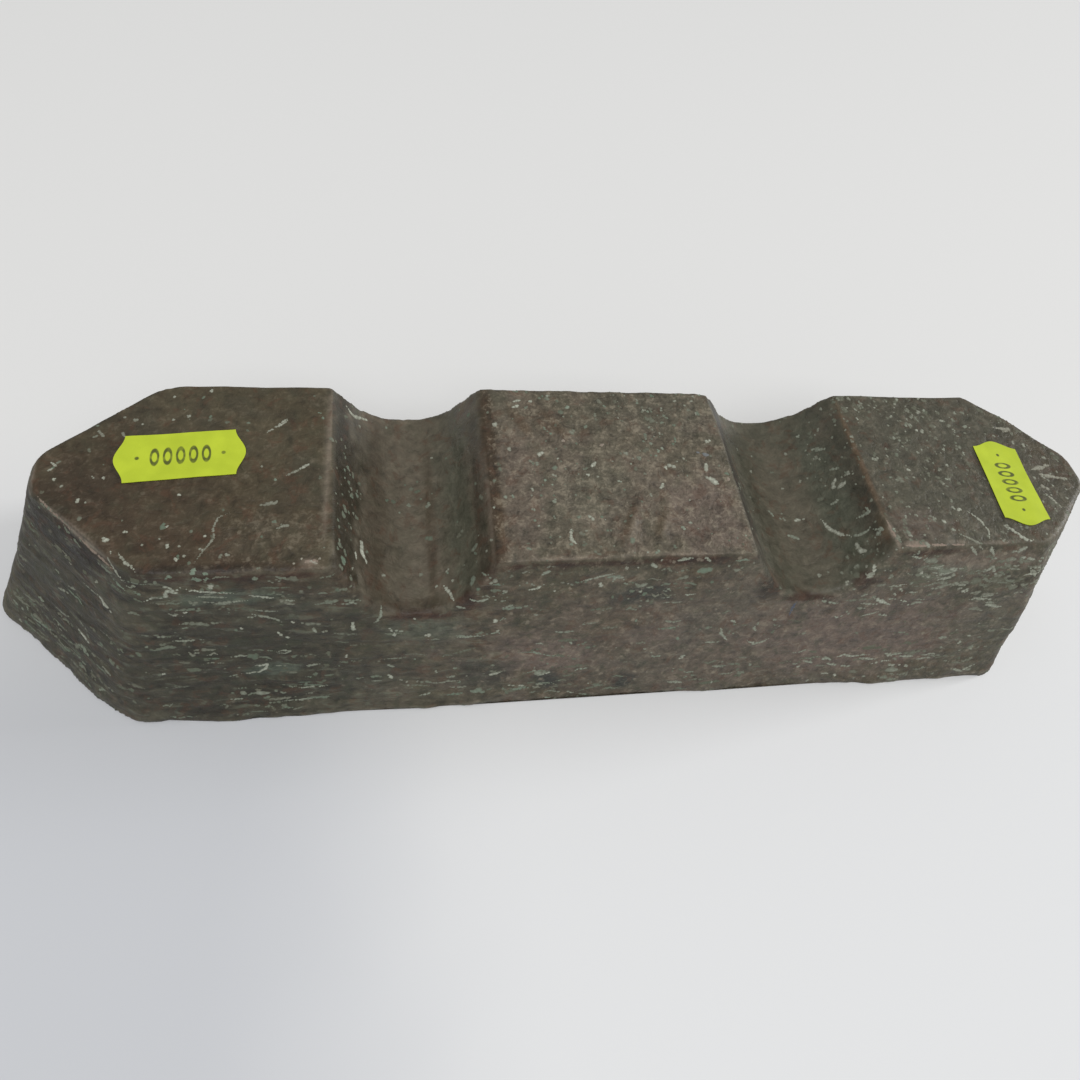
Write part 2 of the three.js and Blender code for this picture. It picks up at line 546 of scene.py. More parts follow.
@dataclass(frozen=True)
class LabelPaper:
    """Fluorescent yellow-green label paper with a row of grey printed rings."""

    paper: Colour = srgb(191, 208, 56)
    shade: Colour = srgb(180, 197, 51)
    print_grey: Colour = srgb(78, 84, 40)
    ring_pitch: float = 2.55
    ring_half: tuple[float, float] = (0.72, 1.75)
    ring_stroke: float = 0.32
    ring_count: int = 5
    dot_reach: float = 8.5
    dot_radius: float = 0.42
    ragged: float = 0.12

    def material(self, label: "PriceLabel") -> bpy.types.Material:
        """Makes the paper of one label.

        Args:
            label: The label, whose middle and turn place the print.

        Returns:
            The material.
        """
        sheet = NodeSheet(label.name + "_paper")
        here = sheet.node("ShaderNodeTexCoord", out="Object")
        spot = sheet.node("ShaderNodeMapping", {"vector_type": "TEXTURE"}, Vector=here,
                          Location=(label.middle[0], label.middle[1], 0.0),
                          Rotation=(0.0, 0.0, label.turn), Scale=(MM, MM, MM))
        across, up = (sheet.node("ShaderNodeSeparateXYZ", None, spot, out=axis) for axis in "XY")
        wobble = (sheet.noise(sheet.place(), 0.8, 2.0) - 0.5) * self.ragged
        half = self.ring_pitch / 2
        cell = half - sheet.node("ShaderNodeMath", {"operation": "PINGPONG"}, across + half, half)
        wide, tall = self.ring_half
        radius = ((cell / wide) ** 2 + (up / tall) ** 2) ** 0.5
        ring = (radius - 1.0 + wobble).absolute().step(self.ring_stroke + 0.1, self.ring_stroke - 0.14)
        row_end = half * self.ring_count
        ring = ring * across.absolute().step(row_end + 0.05, row_end - 0.05)
        dot_gap = ((across.absolute() - self.dot_reach) ** 2 + up ** 2) ** 0.5
        dot = dot_gap.step(self.dot_radius + 0.15, self.dot_radius - 0.15)
        faded = sheet.noise(sheet.place(), 1.4, 2.0).step(0.3, 0.6)
        ink = ring.maximum(dot) * (0.66 + 0.3 * faded)
        paper = sheet.mix(sheet.noise(sheet.place(), 5.0, 3.0).step(0.3, 0.75), self.shade, self.paper)
        fibre = sheet.noise(sheet.place(), 0.3, 2.0)
        colour = sheet.mix(ink.clamped(), paper, self.print_grey)
        normal = sheet.bump(fibre, 0.04, 0.5)
        rough = 0.5 + 0.15 * (fibre - 0.5)
        return sheet.finish(Base_Color=colour, Roughness=rough, Normal=normal, Specular_IOR_Level=0.3)


@dataclass(frozen=True)
class StudioGround:
    """A pale matt table top, with a soft shadow painted in grey at the near left."""

    far: Colour = srgb(228, 228, 227)
    near: Colour = srgb(228, 229, 230)
    # the colour of the painted shadow at the near left
    grey: Colour = srgb(203, 205, 209)

    def material(self) -> bpy.types.Material:
        """Makes the ground's finish.

        Returns:
            The material.
        """
        sheet = NodeSheet("pale_ground")
        along, away = (sheet.node("ShaderNodeSeparateXYZ", None, sheet.place(), out=axis) for axis in "XY")
        nearness = away.step(60.0, -60.0)
        cloud = (sheet.noise(sheet.place(), 60.0, 2.0) - 0.5) * 30.0
        paper = sheet.mix(nearness, self.far, self.near)
        # painted shadow: the ground turns grey at the near left, with a ragged edge
        paper = sheet.mix(nearness * (along + cloud).step(-20.0, -90.0), paper, self.grey)
        return sheet.finish(Base_Color=paper, Roughness=0.9, Specular_IOR_Level=0.1)


# ---------------------------------------------------------------------------------------
# The casting


@dataclass(frozen=True)
class Outline:
    """The casting's outline at one height, in metres."""

    half_width: float
    shoulder: float
    apex: float
    tip: float


@dataclass(frozen=True)
class Notch:
    """A notch across the upper face: where it lies, how wide and deep it is, front and back."""

    front_x: float
    back_x: float
    front_half: float
    back_half: float
    front_depth: float
    back_depth: float

    @property
    def middle(self) -> float:
        """The notch's mean place along the casting."""
        return (self.front_x + self.back_x) / 2

    @property
    def half(self) -> float:
        """Half the notch's mean width."""
        return (self.front_half + self.back_half) / 2


@dataclass(frozen=True)
class Relief:
    """One layer of cloudy unevenness.

    Attributes:
        size: How large its lumps are along X, Y and Z, in millimetres.
        height: From its lowest to its highest, in millimetres.
        region: Where it works, or empty for everywhere.
        depth: How many finer octaves it has.
        shift: Where the pattern starts, in millimetres.
    """

    size: Place
    height: float
    region: str = ""
    depth: int = 2
    shift: Place = (0.0, 0.0, 0.0)


@dataclass(frozen=True)
class Swell:
    """One local rise, or a sink where height is negative, in millimetres and degrees.

    Attributes:
        at: Its middle.
        reach: How far it goes along X, Y and Z.
        height: How far it moves the surface.
        turn: How far it is turned about Z.
        axis: Which way it moves the surface: X, Y, Z or NORMAL.
    """

    at: Place
    reach: Place
    height: float
    turn: float = 0.0
    axis: str = "NORMAL"


@dataclass(frozen=True)
class Patch:
    """A soft patch of one tone on the regions named, in millimetres, and degrees about Z."""

    tone: Tone
    at: Place
    reach: Place
    strength: float
    regions: str = "land notch side"
    turn: float = 0.0

    @property
    def softness(self) -> float:
        """How ragged the patch is: 1 for a broad one, less for a narrow line."""
        return min(1.0, 0.15 + min(self.reach[:2]) / 4)

    def distance(self, spots: np.ndarray) -> np.ndarray:
        """Finds how far places lie from the patch's middle.

        Args:
            spots: The places in millimetres, one row each.

        Returns:
            One number for each place, 1 being the patch's reach.
        """
        x, y, z = (spots - np.array(self.at)).T
        cosine, sine = math.cos(math.radians(self.turn)), math.sin(math.radians(self.turn))
        away = np.column_stack((cosine * x + sine * y, cosine * y - sine * x, z))
        return np.linalg.norm(away / np.array(self.reach), axis=1)


@dataclass
class Casting:
    """The ingot, cast in one piece."""

    height: float = 50.5 * MM
    base: Outline = Outline(32.6 * MM, 108.4 * MM, 143.3 * MM, 140.4 * MM)
    top: Outline = Outline(24.1 * MM, 101.0 * MM, 126.8 * MM, 122.6 * MM)
    left_shoulder_bevel: float = 3.8 * MM
    right_shoulder_bevel: float = 1.3 * MM
    tip_bevel: float = 2.2 * MM
    rim_bevel: float = 0.5 * MM
    foot_bevel: float = 0.9 * MM
    right_front_push: float = 0.9 * MM
    notches: tuple[Notch, ...] = (
        Notch(-46.2 * MM, -48.0 * MM, 16.2 * MM, 17.4 * MM, 15.2 * MM, 15.2 * MM),
        Notch(44.9 * MM, 44.9 * MM, 17.0 * MM, 17.2 * MM, 13.6 * MM, 15.0 * MM),
    )
    notch_floor_half: float = 7.5 * MM
    notch_floor_bevel: float = 7.35 * MM
    cutter_rise: float = 6 * MM
    cutter_stretch: float = 1.2
    voxel: float = 0.72 * MM
    underside_kept: float = 0.72
    reliefs: tuple[Relief, ...] = (
        Relief((34, 34, 34), 0.9, depth=1),
        Relief((9, 9, 9), 0.5, depth=2, shift=(40, 3, 8)),
        Relief((16, 16, 1.9), 0.8, "banded", 3, (5, 9, 2)),
        Relief((7, 7, 3.2), 0.4, "side", 2, (15, 19, 4)),
        Relief((3.4, 3.4, 3.4), 0.45, "sandy", 3, (1, 2, 3)),
        Relief((1.9, 1.9, 1.9), 0.2, "sandy", 1, (8, 1, 4)),
        Relief((3.5, 9, 3.5), 0.35, "notch", 2, (2, 8, 1)),
        Relief((9, 9, 9), 1.1, "foot", 3, (9, 9, 1)),
        Relief((4.5, 4.5, 4.5), 0.5, "foot", 1, (2, 7, 6)),
        Relief((12, 12, 12), 1.4, "under", 3, (4, 4, 4)),
    )
    swells: tuple[Swell, ...] = (
        Swell((95, -24, 50), (150, 8, 16), 2.0, axis="Y"),
        Swell((5, -24, 50), (90, 8, 16), 0.8, axis="Y"),
        Swell((78, -33, 3), (55, 9, 16), 1.3),
        Swell((28, -33, 1), (22, 9, 12), 0.8),
        Swell((-50, -33, 1), (95, 9, 12), 0.8),
        Swell((-118, -26, 1), (26, 12, 12), 0.8),
        Swell((109, -27, 27), (26, 26, 62), 1.6),
        Swell((108, -33, 4), (14, 9, 14), 0.7),
        Swell((112, 16, 47), (22, 12, 16), 1.1),
        Swell((-142, -4, 6), (12, 16, 24), 0.9),
        Swell((-137, -9, 4), (8, 10, 10), 0.9),
        Swell((-110, -32, 2), (10, 10, 12), -0.9),
        Swell((-84, -33, 1), (26, 9, 12), 0.8),
        Swell((122, -14, 46), (14, 14, 12), 0.4),
        Swell((-128, 10, 48), (24, 24, 12), 0.9),
        Swell((-82, -25, 47), (22, 5, 8), 0.7),
        Swell((-42.0, 0, 35.5), (2.4, 40, 5), 0.45),
        Swell((-31.5, 0, 46), (3.0, 44, 6), 0.4),
        Swell((-29.6, 0, 51), (2.4, 44, 3), -0.5),
        Swell((29, 23, 50.5), (5, 10, 5), -0.8),
        Swell((-21, 14, 50.5), (2.8, 13, 6), 0.8, 28),
        Swell((-13, 13.5, 50.5), (2.8, 13, 6), 0.8, 30),
        Swell((-4, 13, 50.5), (2.6, 9, 6), 0.6, 24),
        Swell((1, -14, 50.5), (2.8, 14, 6), 0.9, -24),
        Swell((8, -15, 50.5), (2.8, 12, 6), 0.8, -24),
    )
    patches: tuple[Patch, ...] = (
        # the lands
        Patch(Tone.UMBER, (-108, -6, 50), (26, 22, 6), 0.8, "land"),
        Patch(Tone.SOOT, (-114, -4, 50), (12, 10, 6), 0.3, "land"),
        Patch(Tone.UMBER, (-86, -23, 49.5), (30, 3.5, 4), 0.9, "land rim"),
        Patch(Tone.RUST, (-92, -19, 50.5), (16, 5, 3), 0.35, "land"),
        Patch(Tone.UMBER, (-84, -12, 50), (30, 20, 4), 0.3, "land"),
        Patch(Tone.SAND, (-75, -17, 50.5), (12, 7, 3), 0.2, "land"),
        Patch(Tone.ROSE, (-23, -4, 50.5), (6, 26, 3), 0.4, "land"),
        Patch(Tone.ROSE, (18, -12, 50.5), (14, 14, 3), 0.6, "land"),
        Patch(Tone.STONE, (-8, -7, 50.5), (10, 11, 3), 0.4, "land"),
        Patch(Tone.STONE, (12, 18, 50.5), (24, 9, 3), 0.4, "land"),
        Patch(Tone.UMBER, (-16, 14, 50.5), (8, 8, 3), 0.3, "land"),
        Patch(Tone.BROWN, (-22, 14, 50.5), (1.6, 7, 3), 0.5, "land", 28),
        Patch(Tone.BROWN, (-14, 13.5, 50.5), (1.6, 7, 3), 0.5, "land", 30),
        Patch(Tone.BROWN, (0, -14, 50.5), (1.5, 7, 3), 0.5, "land", -24),
        Patch(Tone.BROWN, (7, -15, 50.5), (1.5, 6, 3), 0.5, "land", -24),
        Patch(Tone.WORN, (1.4, -14, 50.7), (1.1, 6, 3), 0.35, "land", -24),
        Patch(Tone.WORN, (8.4, -15, 50.7), (1.1, 5, 3), 0.35, "land", -24),
        Patch(Tone.STONE, (86, 4, 50.5), (36, 34, 3), 0.8, "land"),
        Patch(Tone.SLATE, (88, 2, 50.5), (40, 40, 3), 0.3, "land"),
        Patch(Tone.ROSE, (70, -16, 50.5), (10, 7, 3), 0.4, "land"),
        # the left notch
        # partly the notch's own paler tone, partly painted light that lifts the shadow in its floor and right
        # wall
        Patch(Tone.STONE, (-37.5, 4, 40), (7, 40, 9), 0.7, "notch"),
        Patch(Tone.SAND, (-48, -2, 37), (8, 34, 5), 0.6, "notch"),
        Patch(Tone.UMBER, (-55, 0, 40), (4, 40, 9), 0.35, "notch"),
        Patch(Tone.MOSS, (-62, 0, 47), (8, 40, 11), 0.95, "notch"),
        Patch(Tone.MOSS, (-62, -22, 42), (4.5, 9, 9), 0.8, "notch lip rim"),
        Patch(Tone.SOOT, (-61.5, -4, 46), (5, 44, 9), 0.3, "notch"),
        Patch(Tone.UMBER, (-42.3, -6, 36), (1.6, 30, 6), 0.5, "notch"),
        Patch(Tone.UMBER, (-46, -25, 36), (9, 2.5, 4), 0.6, "notch lip rim"),
        Patch(Tone.COAL, (-32.4, -4, 47), (1.5, 40, 4), 0.5, "notch"),
        Patch(Tone.VEIL, (-36, -2, 42), (4, 36, 8), 0.15, "notch"),
        Patch(Tone.UMBER, (-29.6, -1, 50), (2.4, 50, 3), 0.9, "notch land rim"),
        Patch(Tone.BROWN, (-28.6, -14, 50.5), (1.2, 12, 3), 0.5, "notch land rim"),
        Patch(Tone.WORN, (-30.8, -10, 50), (0.6, 20, 2), 0.4, "notch land rim"),
        # the right notch
        # partly the notch's own paler tone, partly painted light that lifts the shadow in its floor and right
        # wall
        Patch(Tone.STONE, (44, 0, 44), (34, 80, 26), 0.95, "notch"),
        Patch(Tone.SAND, (46, -4, 38), (9, 34, 8), 0.65, "notch"),
        Patch(Tone.COAL, (31, 5, 46), (4.5, 48, 8), 0.8, "notch"),
        # painted shadow: a dark line just under the notch's rim
        Patch(Tone.SOOT, (28.7, -2, 49.4), (1.1, 36, 2.6), 0.9, "notch land rim"),
        Patch(Tone.SOOT, (29.8, 6, 47.5), (2.4, 44, 4), 0.45, "notch"),
        Patch(Tone.UMBER, (35, -25, 40), (5, 5, 5), 0.5, "notch rim"),
        Patch(Tone.VEIL, (56, -2, 44), (5, 36, 9), 0.22, "notch"),
        Patch(Tone.COAL, (60.8, -3, 48.3), (3.0, 34, 6), 0.3, "notch"),
        Patch(Tone.SOOT, (61, -9, 48.6), (2.0, 14, 4), 0.3, "notch"),
        Patch(Tone.BROWN, (62.0, -17, 48.6), (1.5, 6, 4), 0.8, "notch rim"),
        Patch(Tone.BROWN, (62.6, 3, 50.4), (1.0, 26, 2), 0.9, "notch land rim"),
        # the sides
        # partly dark patina, partly painted shade: the band just under the left end's top edge
        Patch(Tone.SOOT, (-118, -14, 45), (26, 17, 9), 0.95, "side lip"),
        Patch(Tone.SOOT, (-103, -26, 48), (8, 6, 4), 0.8, "side lip"),
        Patch(Tone.UMBER, (-76, -26, 46), (30, 6, 6), 0.8, "side lip"),
        Patch(Tone.ROSE, (28, -30, 22), (90, 14, 40), 0.35, "side"),
        Patch(Tone.ROSE, (62, -30, 20), (40, 12, 18), 0.7, "side"),
        Patch(Tone.ROSE, (-16, -30, 18), (16, 12, 9), 0.7, "side"),
        Patch(Tone.ROSE, (8, -30, 24), (10, 12, 6), 0.5, "side"),
        Patch(Tone.STONE, (100, -28, 16), (14, 12, 20), 0.6, "side"),
        Patch(Tone.ROSE, (84, -24, 46), (24, 6, 3), 0.4, "side"),
        Patch(Tone.WORN, (88, -24.5, 46.5), (18, 5, 4), 0.25, "side"),
        # partly pale wear, partly a painted highlight: the lit rim down the right front corner
        Patch(Tone.VEIL, (113, -24, 26), (7, 8, 44), 0.35, "side"),
        # the left front and the left end: partly their own darker patina, partly a painted shadow over the
        # left end
        Patch(Tone.SLATE, (-90, -30, 20), (46, 30, 30), 0.8, "side"),
        Patch(Tone.COAL, (-78, -30, 22), (36, 16, 34), 0.45, "side"),
        Patch(Tone.COAL, (-124, -16, 22), (22, 24, 36), 0.7, "side"),
        Patch(Tone.TEAL, (-14, -31, 8), (5, 8, 5), 0.8, "side"),
        Patch(Tone.TEAL, (6, -31, 6), (4, 8, 4), 0.8, "side"),
        Patch(Tone.TEAL, (3, -28, 39), (9, 8, 4), 0.7, "side"),
        Patch(Tone.TEAL, (-30, -30, 12), (10, 8, 8), 0.5, "side"),
        Patch(Tone.VEIL, (-84, -28, 43), (16, 8, 3.5), 0.5, "side"),
        Patch(Tone.VEIL, (-77, -30, 17.5), (8, 8, 3), 0.55, "side"),
        Patch(Tone.VEIL, (-44, -30, 30), (12, 8, 6), 0.3, "side"),
        Patch(Tone.VEIL, (78, -27, 43), (13, 8, 4), 0.2, "side"),
        # the lips and rims
        Patch(Tone.RUST, (-45, -27.0, 34.9), (10, 2.4, 1.5), 1.0),
        Patch(Tone.RUST, (-35.5, -26.4, 39), (4, 3, 5), 0.95, "side lip rim"),
        Patch(Tone.RUST, (-31.8, -25.2, 45.5), (2.5, 3, 5), 0.8, "side lip rim"),
        Patch(Tone.RUST, (44.5, -26.9, 36.3), (11, 2.3, 1.6), 1.0),
        Patch(Tone.RUST, (57, -26, 42), (4.5, 3, 5), 0.9, "side lip rim"),
        Patch(Tone.SOOT, (34, -26, 41), (4.5, 3, 6), 0.8, "side lip rim"),
        Patch(Tone.RUST, (0, -24.6, 49.2), (44, 3.4, 2.1), 1.0),
        Patch(Tone.RUST, (74, -24.4, 49.3), (15, 3, 1.5), 0.9),
        Patch(Tone.RUST, (-86, -24.6, 49.3), (28, 2.4, 2.0), 0.95),
        Patch(Tone.SOOT, (-88, -23.6, 50.4), (22, 1.8, 1.6), 0.6),
        Patch(Tone.SAND, (-65.4, 2, 50.5), (1.2, 34, 3), 0.5, "rim land"),
        Patch(Tone.WORN, (-64.9, 4, 50.4), (0.6, 32, 3), 0.5, "rim land"),
        Patch(Tone.WORN, (-67.8, -22.4, 50.5), (2.6, 1.6, 2.5), 0.6, "rim land"),
        Patch(Tone.WORN, (-112.1, -13.9, 50), (13, 0.7, 2.0), 0.8, turn=-43),
        Patch(Tone.WORN, (-122.6, -2, 50), (0.7, 7, 2.0), 0.6),
        Patch(Tone.WORN, (-16, -23.0, 50.5), (9, 1.4, 3), 0.4, "land rim"),
        Patch(Tone.WORN, (12, -22.8, 50.5), (8, 1.6, 3), 0.45, "land rim"),
        Patch(Tone.WORN, (63.0, -19, 50.4), (0.9, 5, 3), 0.9, "notch land rim"),
        Patch(Tone.WORN, (67, -21.5, 50.5), (5, 1.0, 3), 0.8, "land rim"),
        Patch(Tone.WORN, (78, -21.4, 50.5), (4, 0.9, 3), 0.5, "land rim"),
        Patch(Tone.WORN, (90, -21.6, 50.5), (7, 0.8, 3), 0.35, "land rim"),
    )
    marks: dict[str, np.ndarray] = field(default_factory=dict)

    def build(self) -> bpy.types.Object:
        """Models the casting from a block, and gives it its finish.

        Returns:
            The casting.
        """
        piece = self.block()
        for notch in self.notches:
            self.cut(piece, notch)
        apply_modifier(piece, "REMESH", mode="VOXEL", voxel_size=self.voxel, use_smooth_shade=True)
        self.soften(piece)
        self.thin_out(piece)
        self.marks = self.regions(piece)
        for swell in self.swells:
            self.swell(piece, swell)
        for relief in self.reliefs:
            self.roughen(piece, relief)
        self.level_foot(piece)
        piece.vertex_groups.clear()
        self.paint(piece)
        piece.data.materials.clear()
        piece.data.materials.append(WeatheredCopper().material())
        make_active(piece)
        bpy.ops.object.shade_smooth()
        return piece

    def block(self) -> bpy.types.Object:
        """Cuts the drafted block with its pointed ends out of a cuboid.

        Returns:
            The block, with its edges bevelled.
        """
        deselect_all()
        bpy.ops.mesh.primitive_cube_add(size=1.0, location=(0, 0, self.height / 2),
                                        scale=(2 * self.base.apex, 2 * self.base.half_width, self.height))
        piece = bpy.context.object
        piece.name = "casting"
        settle(piece)
        bpy.ops.object.mode_set(mode="EDIT")
        for point, normal in self.side_planes():
            bpy.ops.mesh.select_all(action="SELECT")
            bpy.ops.mesh.bisect(plane_co=point, plane_no=normal, use_fill=True, clear_outer=True)
        tall = self.height * 0.8
        bend = (self.base.shoulder + self.top.tip) / 2
        for low, high, offset in (
            (-bend, 0, self.left_shoulder_bevel),
            (0, bend, self.right_shoulder_bevel),
            (-math.inf, -bend, self.tip_bevel),
            (bend, math.inf, self.tip_bevel),
        ):
            select_edges(piece, lambda a, b: abs(a.z - b.z) > tall and low < (a.x + b.x) / 2 < high)
            bpy.ops.mesh.bevel(offset=offset, segments=6, affect="EDGES", clamp_overlap=True)
        select_edges(piece, lambda a, b: min(a.z, b.z) > self.height - 1e-6)
        bpy.ops.mesh.bevel(offset=self.rim_bevel, segments=3, affect="EDGES")
        select_edges(piece, lambda a, b: max(a.z, b.z) < 1e-6)
        bpy.ops.mesh.bevel(offset=self.foot_bevel, segments=2, affect="EDGES")
        bpy.ops.mesh.select_all(action="SELECT")
        bpy.ops.mesh.normals_make_consistent(inside=False)
        bpy.ops.object.mode_set(mode="OBJECT")
        return piece

    def side_planes(self) -> Iterator[tuple[Vector, Vector]]:
        """Works out the planes of the drafted sides and ends.

        Yields:
            A point and an outward normal for each.
        """
        low, high, rise = self.base, self.top, self.height
        for across in (-1, 1):
            foot = across * low.half_width
            yield self.plane((low.shoulder, foot, 0), (-low.shoulder, foot, 0),
                             (0, across * high.half_width, rise))
            for along in (-1, 1):
                point, normal = self.plane((along * low.apex, 0, 0), (along * low.shoulder, foot, 0),
                                           (along * high.shoulder, across * high.half_width, rise))
                push = self.right_front_push if along > 0 > across else 0.0
                yield point + normal * push, normal
        for along in (-1, 1):
            yield self.plane((along * low.tip, -1, 0), (along * low.tip, 1, 0), (along * high.tip, 0, rise))

    @staticmethod
    def plane(*points: Sequence[float]) -> tuple[Vector, Vector]:
        """Works out a plane that faces away from the Z axis.

        Args:
            *points: Three points on it.

        Returns:
            One of the points, and the plane's normal.
        """
        first, second, third = (Vector(p) for p in points)
        normal = (second - first).cross(third - first).normalized()
        middle = (first + second) / 2
        if normal.x * middle.x + normal.y * middle.y < 0:
            normal.negate()
        return first, normal

    def cut(self, piece: bpy.types.Object, notch: Notch) -> None:
        """Cuts one notch with a tapered, round-bottomed cutter.

        Args:
            piece: The casting.
            notch: The notch.
        """
        deselect_all()
        reach = self.base.half_width
        bpy.ops.mesh.primitive_cube_add(size=2.0, location=(0, 0, self.height))
        cutter = bpy.context.object
        bpy.ops.object.mode_set(mode="EDIT")
        mesh = bmesh.from_edit_mesh(cutter.data)
        for vertex in mesh.verts:
            side = math.copysign(1.0, vertex.co.x)
            is_back = vertex.co.y > 0
            middle = notch.back_x if is_back else notch.front_x
            half = notch.back_half if is_back else notch.front_half
            depth = notch.back_depth if is_back else notch.front_depth
            lean = (half - self.notch_floor_half) / depth
            down = depth if vertex.co.z < 0 else -self.cutter_rise
            vertex.co = (middle + side * (half - lean * down), math.copysign(reach, vertex.co.y), -down)
        bmesh.update_edit_mesh(cutter.data)
        select_edges(cutter, lambda a, b: max(a.z, b.z) < 0 and abs(a.y - b.y) > reach)
        bpy.ops.mesh.bevel(offset=self.notch_floor_bevel, segments=8, affect="EDGES")
        bpy.ops.mesh.select_all(action="SELECT")
        bpy.ops.mesh.normals_make_consistent(inside=False)
        bpy.ops.transform.resize(value=(1.0, self.cutter_stretch, 1.0))
        bpy.ops.object.mode_set(mode="OBJECT")
        apply_modifier(piece, "BOOLEAN", object=cutter, operation="DIFFERENCE", solver="EXACT")
        bpy.data.objects.remove(cutter)

    def soften(self, piece: bpy.types.Object) -> None:
        """Rounds two worn rims, and takes the sharpness off every other edge.

        Args:
            piece: The casting.
        """
        x, y, z = vertex_places(piece).T / MM
        rim_x = self.notches[1].middle - self.notches[1].half
        back_rim = ramp(np.abs(x * MM - rim_x), 4 * MM, 2 * MM) * ramp(z, 44, 47) * ramp(y, 10, 20)
        front_lip = ramp(np.abs(x + 58), 7, 4) * ramp(y, -18, -24) * ramp(z, 34, 37)
        for name, weights, rounds in (("back_rim", back_rim, 2), ("front_lip", front_lip, 12)):
            set_group(piece, name, weights)
            apply_modifier(piece, "SMOOTH", factor=0.5, iterations=rounds, vertex_group=name)
        apply_modifier(piece, "SMOOTH", factor=0.5, iterations=1)

    def thin_out(self, piece: bpy.types.Object) -> None:
        """Leaves fewer faces on the underside."""
        set_group(piece, "flat_under", ramp(vertex_normals(piece)[:, 2], -0.6, -0.9))
        apply_modifier(piece, "DECIMATE", ratio=self.underside_kept, vertex_group="flat_under")

    def roughen(self, piece: bpy.types.Object, relief: Relief) -> None:
        """Raises and sinks the surface by one layer of relief.

        Args:
            piece: The casting.
            relief: The layer.
        """
        if relief.region:
            set_group(piece, relief.region, self.marks[relief.region])
        texture = bpy.data.textures.new("relief", "CLOUDS")
        texture.noise_scale = 1.0
        texture.noise_depth = relief.depth
        self.displace(piece, texture, relief.shift, relief.size, 0.0, strength=relief.height * MM,
                      mid_level=0.5, vertex_group=relief.region)

    def swell(self, piece: bpy.types.Object, swell: Swell) -> None:
        """Raises or sinks one place.

        Args:
            piece: The casting.
            swell: The place.
        """
        texture = bpy.data.textures.new("swell", "BLEND")
        texture.progression = "QUADRATIC_SPHERE"
        self.displace(piece, texture, swell.at, swell.reach, swell.turn, strength=swell.height * MM,
                      mid_level=0.0, direction=swell.axis)

    @staticmethod
    def displace(piece: bpy.types.Object, texture: bpy.types.Texture, at: Sequence[float],
                 size: Sequence[float], turn: float, **settings: Any) -> None:
        """Moves the surface along its normals by a texture.

        Args:
            piece: The object.
            texture: The texture, which is deleted afterwards.
            at: Where the texture's middle lies, in millimetres.
            size: How far it reaches, in millimetres.
            turn: How far it is turned about Z, in degrees.
            **settings: More of the modifier's properties.
        """
        deselect_all()
        bpy.ops.object.empty_add(location=tuple(s * MM for s in at))
        guide = bpy.context.object
        guide.scale = tuple(s * MM for s in size)
        guide.rotation_euler.z = math.radians(turn)
        bpy.context.view_layer.update()
        apply_modifier(piece, "DISPLACE", texture=texture, texture_coords="OBJECT",
                       texture_coords_object=guide, **settings)
        bpy.data.objects.remove(guide)
        bpy.data.textures.remove(texture)

    def regions(self, piece: bpy.types.Object) -> dict[str, np.ndarray]:
        """Sorts the vertices into regions, by their places and normals.

        Args:
            piece: The casting.

        Returns:
            A weight of 0 to 1 for every vertex, for each region by name.
        """
        x, y, z = vertex_places(piece).T
        lift = spread(vertex_normals(piece)[:, 2], edge_ends(piece), 1)
        in_notch = np.zeros(len(x))
        for notch in self.notches:
            within = ramp(np.abs(x - notch.middle), notch.half + 0.6 * MM, notch.half - 0.6 * MM)
            in_notch = np.maximum(in_notch, within * ramp(lift, 0.25, 0.45))
        up = ramp(lift, 0.45, 0.75)
        middle = ramp(np.abs(x), 40 * MM, 27 * MM)
        right = ramp(x, 58 * MM, 66 * MM)
        corner = ramp(x, -88 * MM, -84 * MM) * (1 - middle - right).clip(0, 1) * ramp(y, -9 * MM, -13 * MM)
        land = up * (1 - in_notch)
        side = ramp(lift, 0.6, 0.3) * ramp(lift, -0.85, -0.5) * (1 - in_notch)
        return {
            "land": land,
            "notch": in_notch,
            "side": side,
            "banded": side * (0.4 + 0.6 * ramp(x, -5 * MM, -45 * MM)),
            "sandy": land * np.clip(0.12 + middle + 0.12 * right + 0.35 * corner, 0, 1)
            + 0.6 * side * ramp(x, -50 * MM, -10 * MM),
            "foot": ramp(z, 9 * MM, 1 * MM) * ramp(lift, -0.9, -0.2),
            "under": ramp(lift, -0.6, -0.9),
        }

    def level_foot(self, piece: bpy.types.Object) -> None:
        """Keeps the foot on the ground, so that nothing reaches below it.

        Args:
            piece: The casting.
        """
        spots = vertex_places(piece)
        spots[:, 2] = np.maximum(spots[:, 2], 0.0)
        piece.data.vertices.foreach_set("co", spots.ravel())
        piece.data.update()

    def paint(self, piece: bpy.types.Object) -> None:
        """Stores on every vertex the tones and numbers that the finish reads.

        Args:
            piece: The casting.
        """
        spots = vertex_places(piece) / MM
        ends = edge_ends(piece)
        for name in ("side", "banded", "sandy"):
            store(piece, name, self.marks[name])
        bend = spread(curvature(piece, 6), ends, 1)
        ridge = ramp(bend, 0.12, 0.28)
        rubbed = ridge * (1 - 0.9 * self.marks["notch"]) * (1 - 0.8 * ramp(spots[:, 0], -64, -72))
        lift = spread(vertex_normals(piece)[:, 2], ends, 3)
        self.marks["rim"] = ridge * ramp(lift, 0.5, 0.75)
        self.marks["lip"] = ramp(spread(bend, ends, 3), 0.05, 0.14) * ramp(lift, 0.75, 0.5)
        store(piece, "ridge", rubbed)
        store(piece, "hollow", ramp(bend, -0.05, -0.2))
        store(piece, "tint", self.tones(spots))

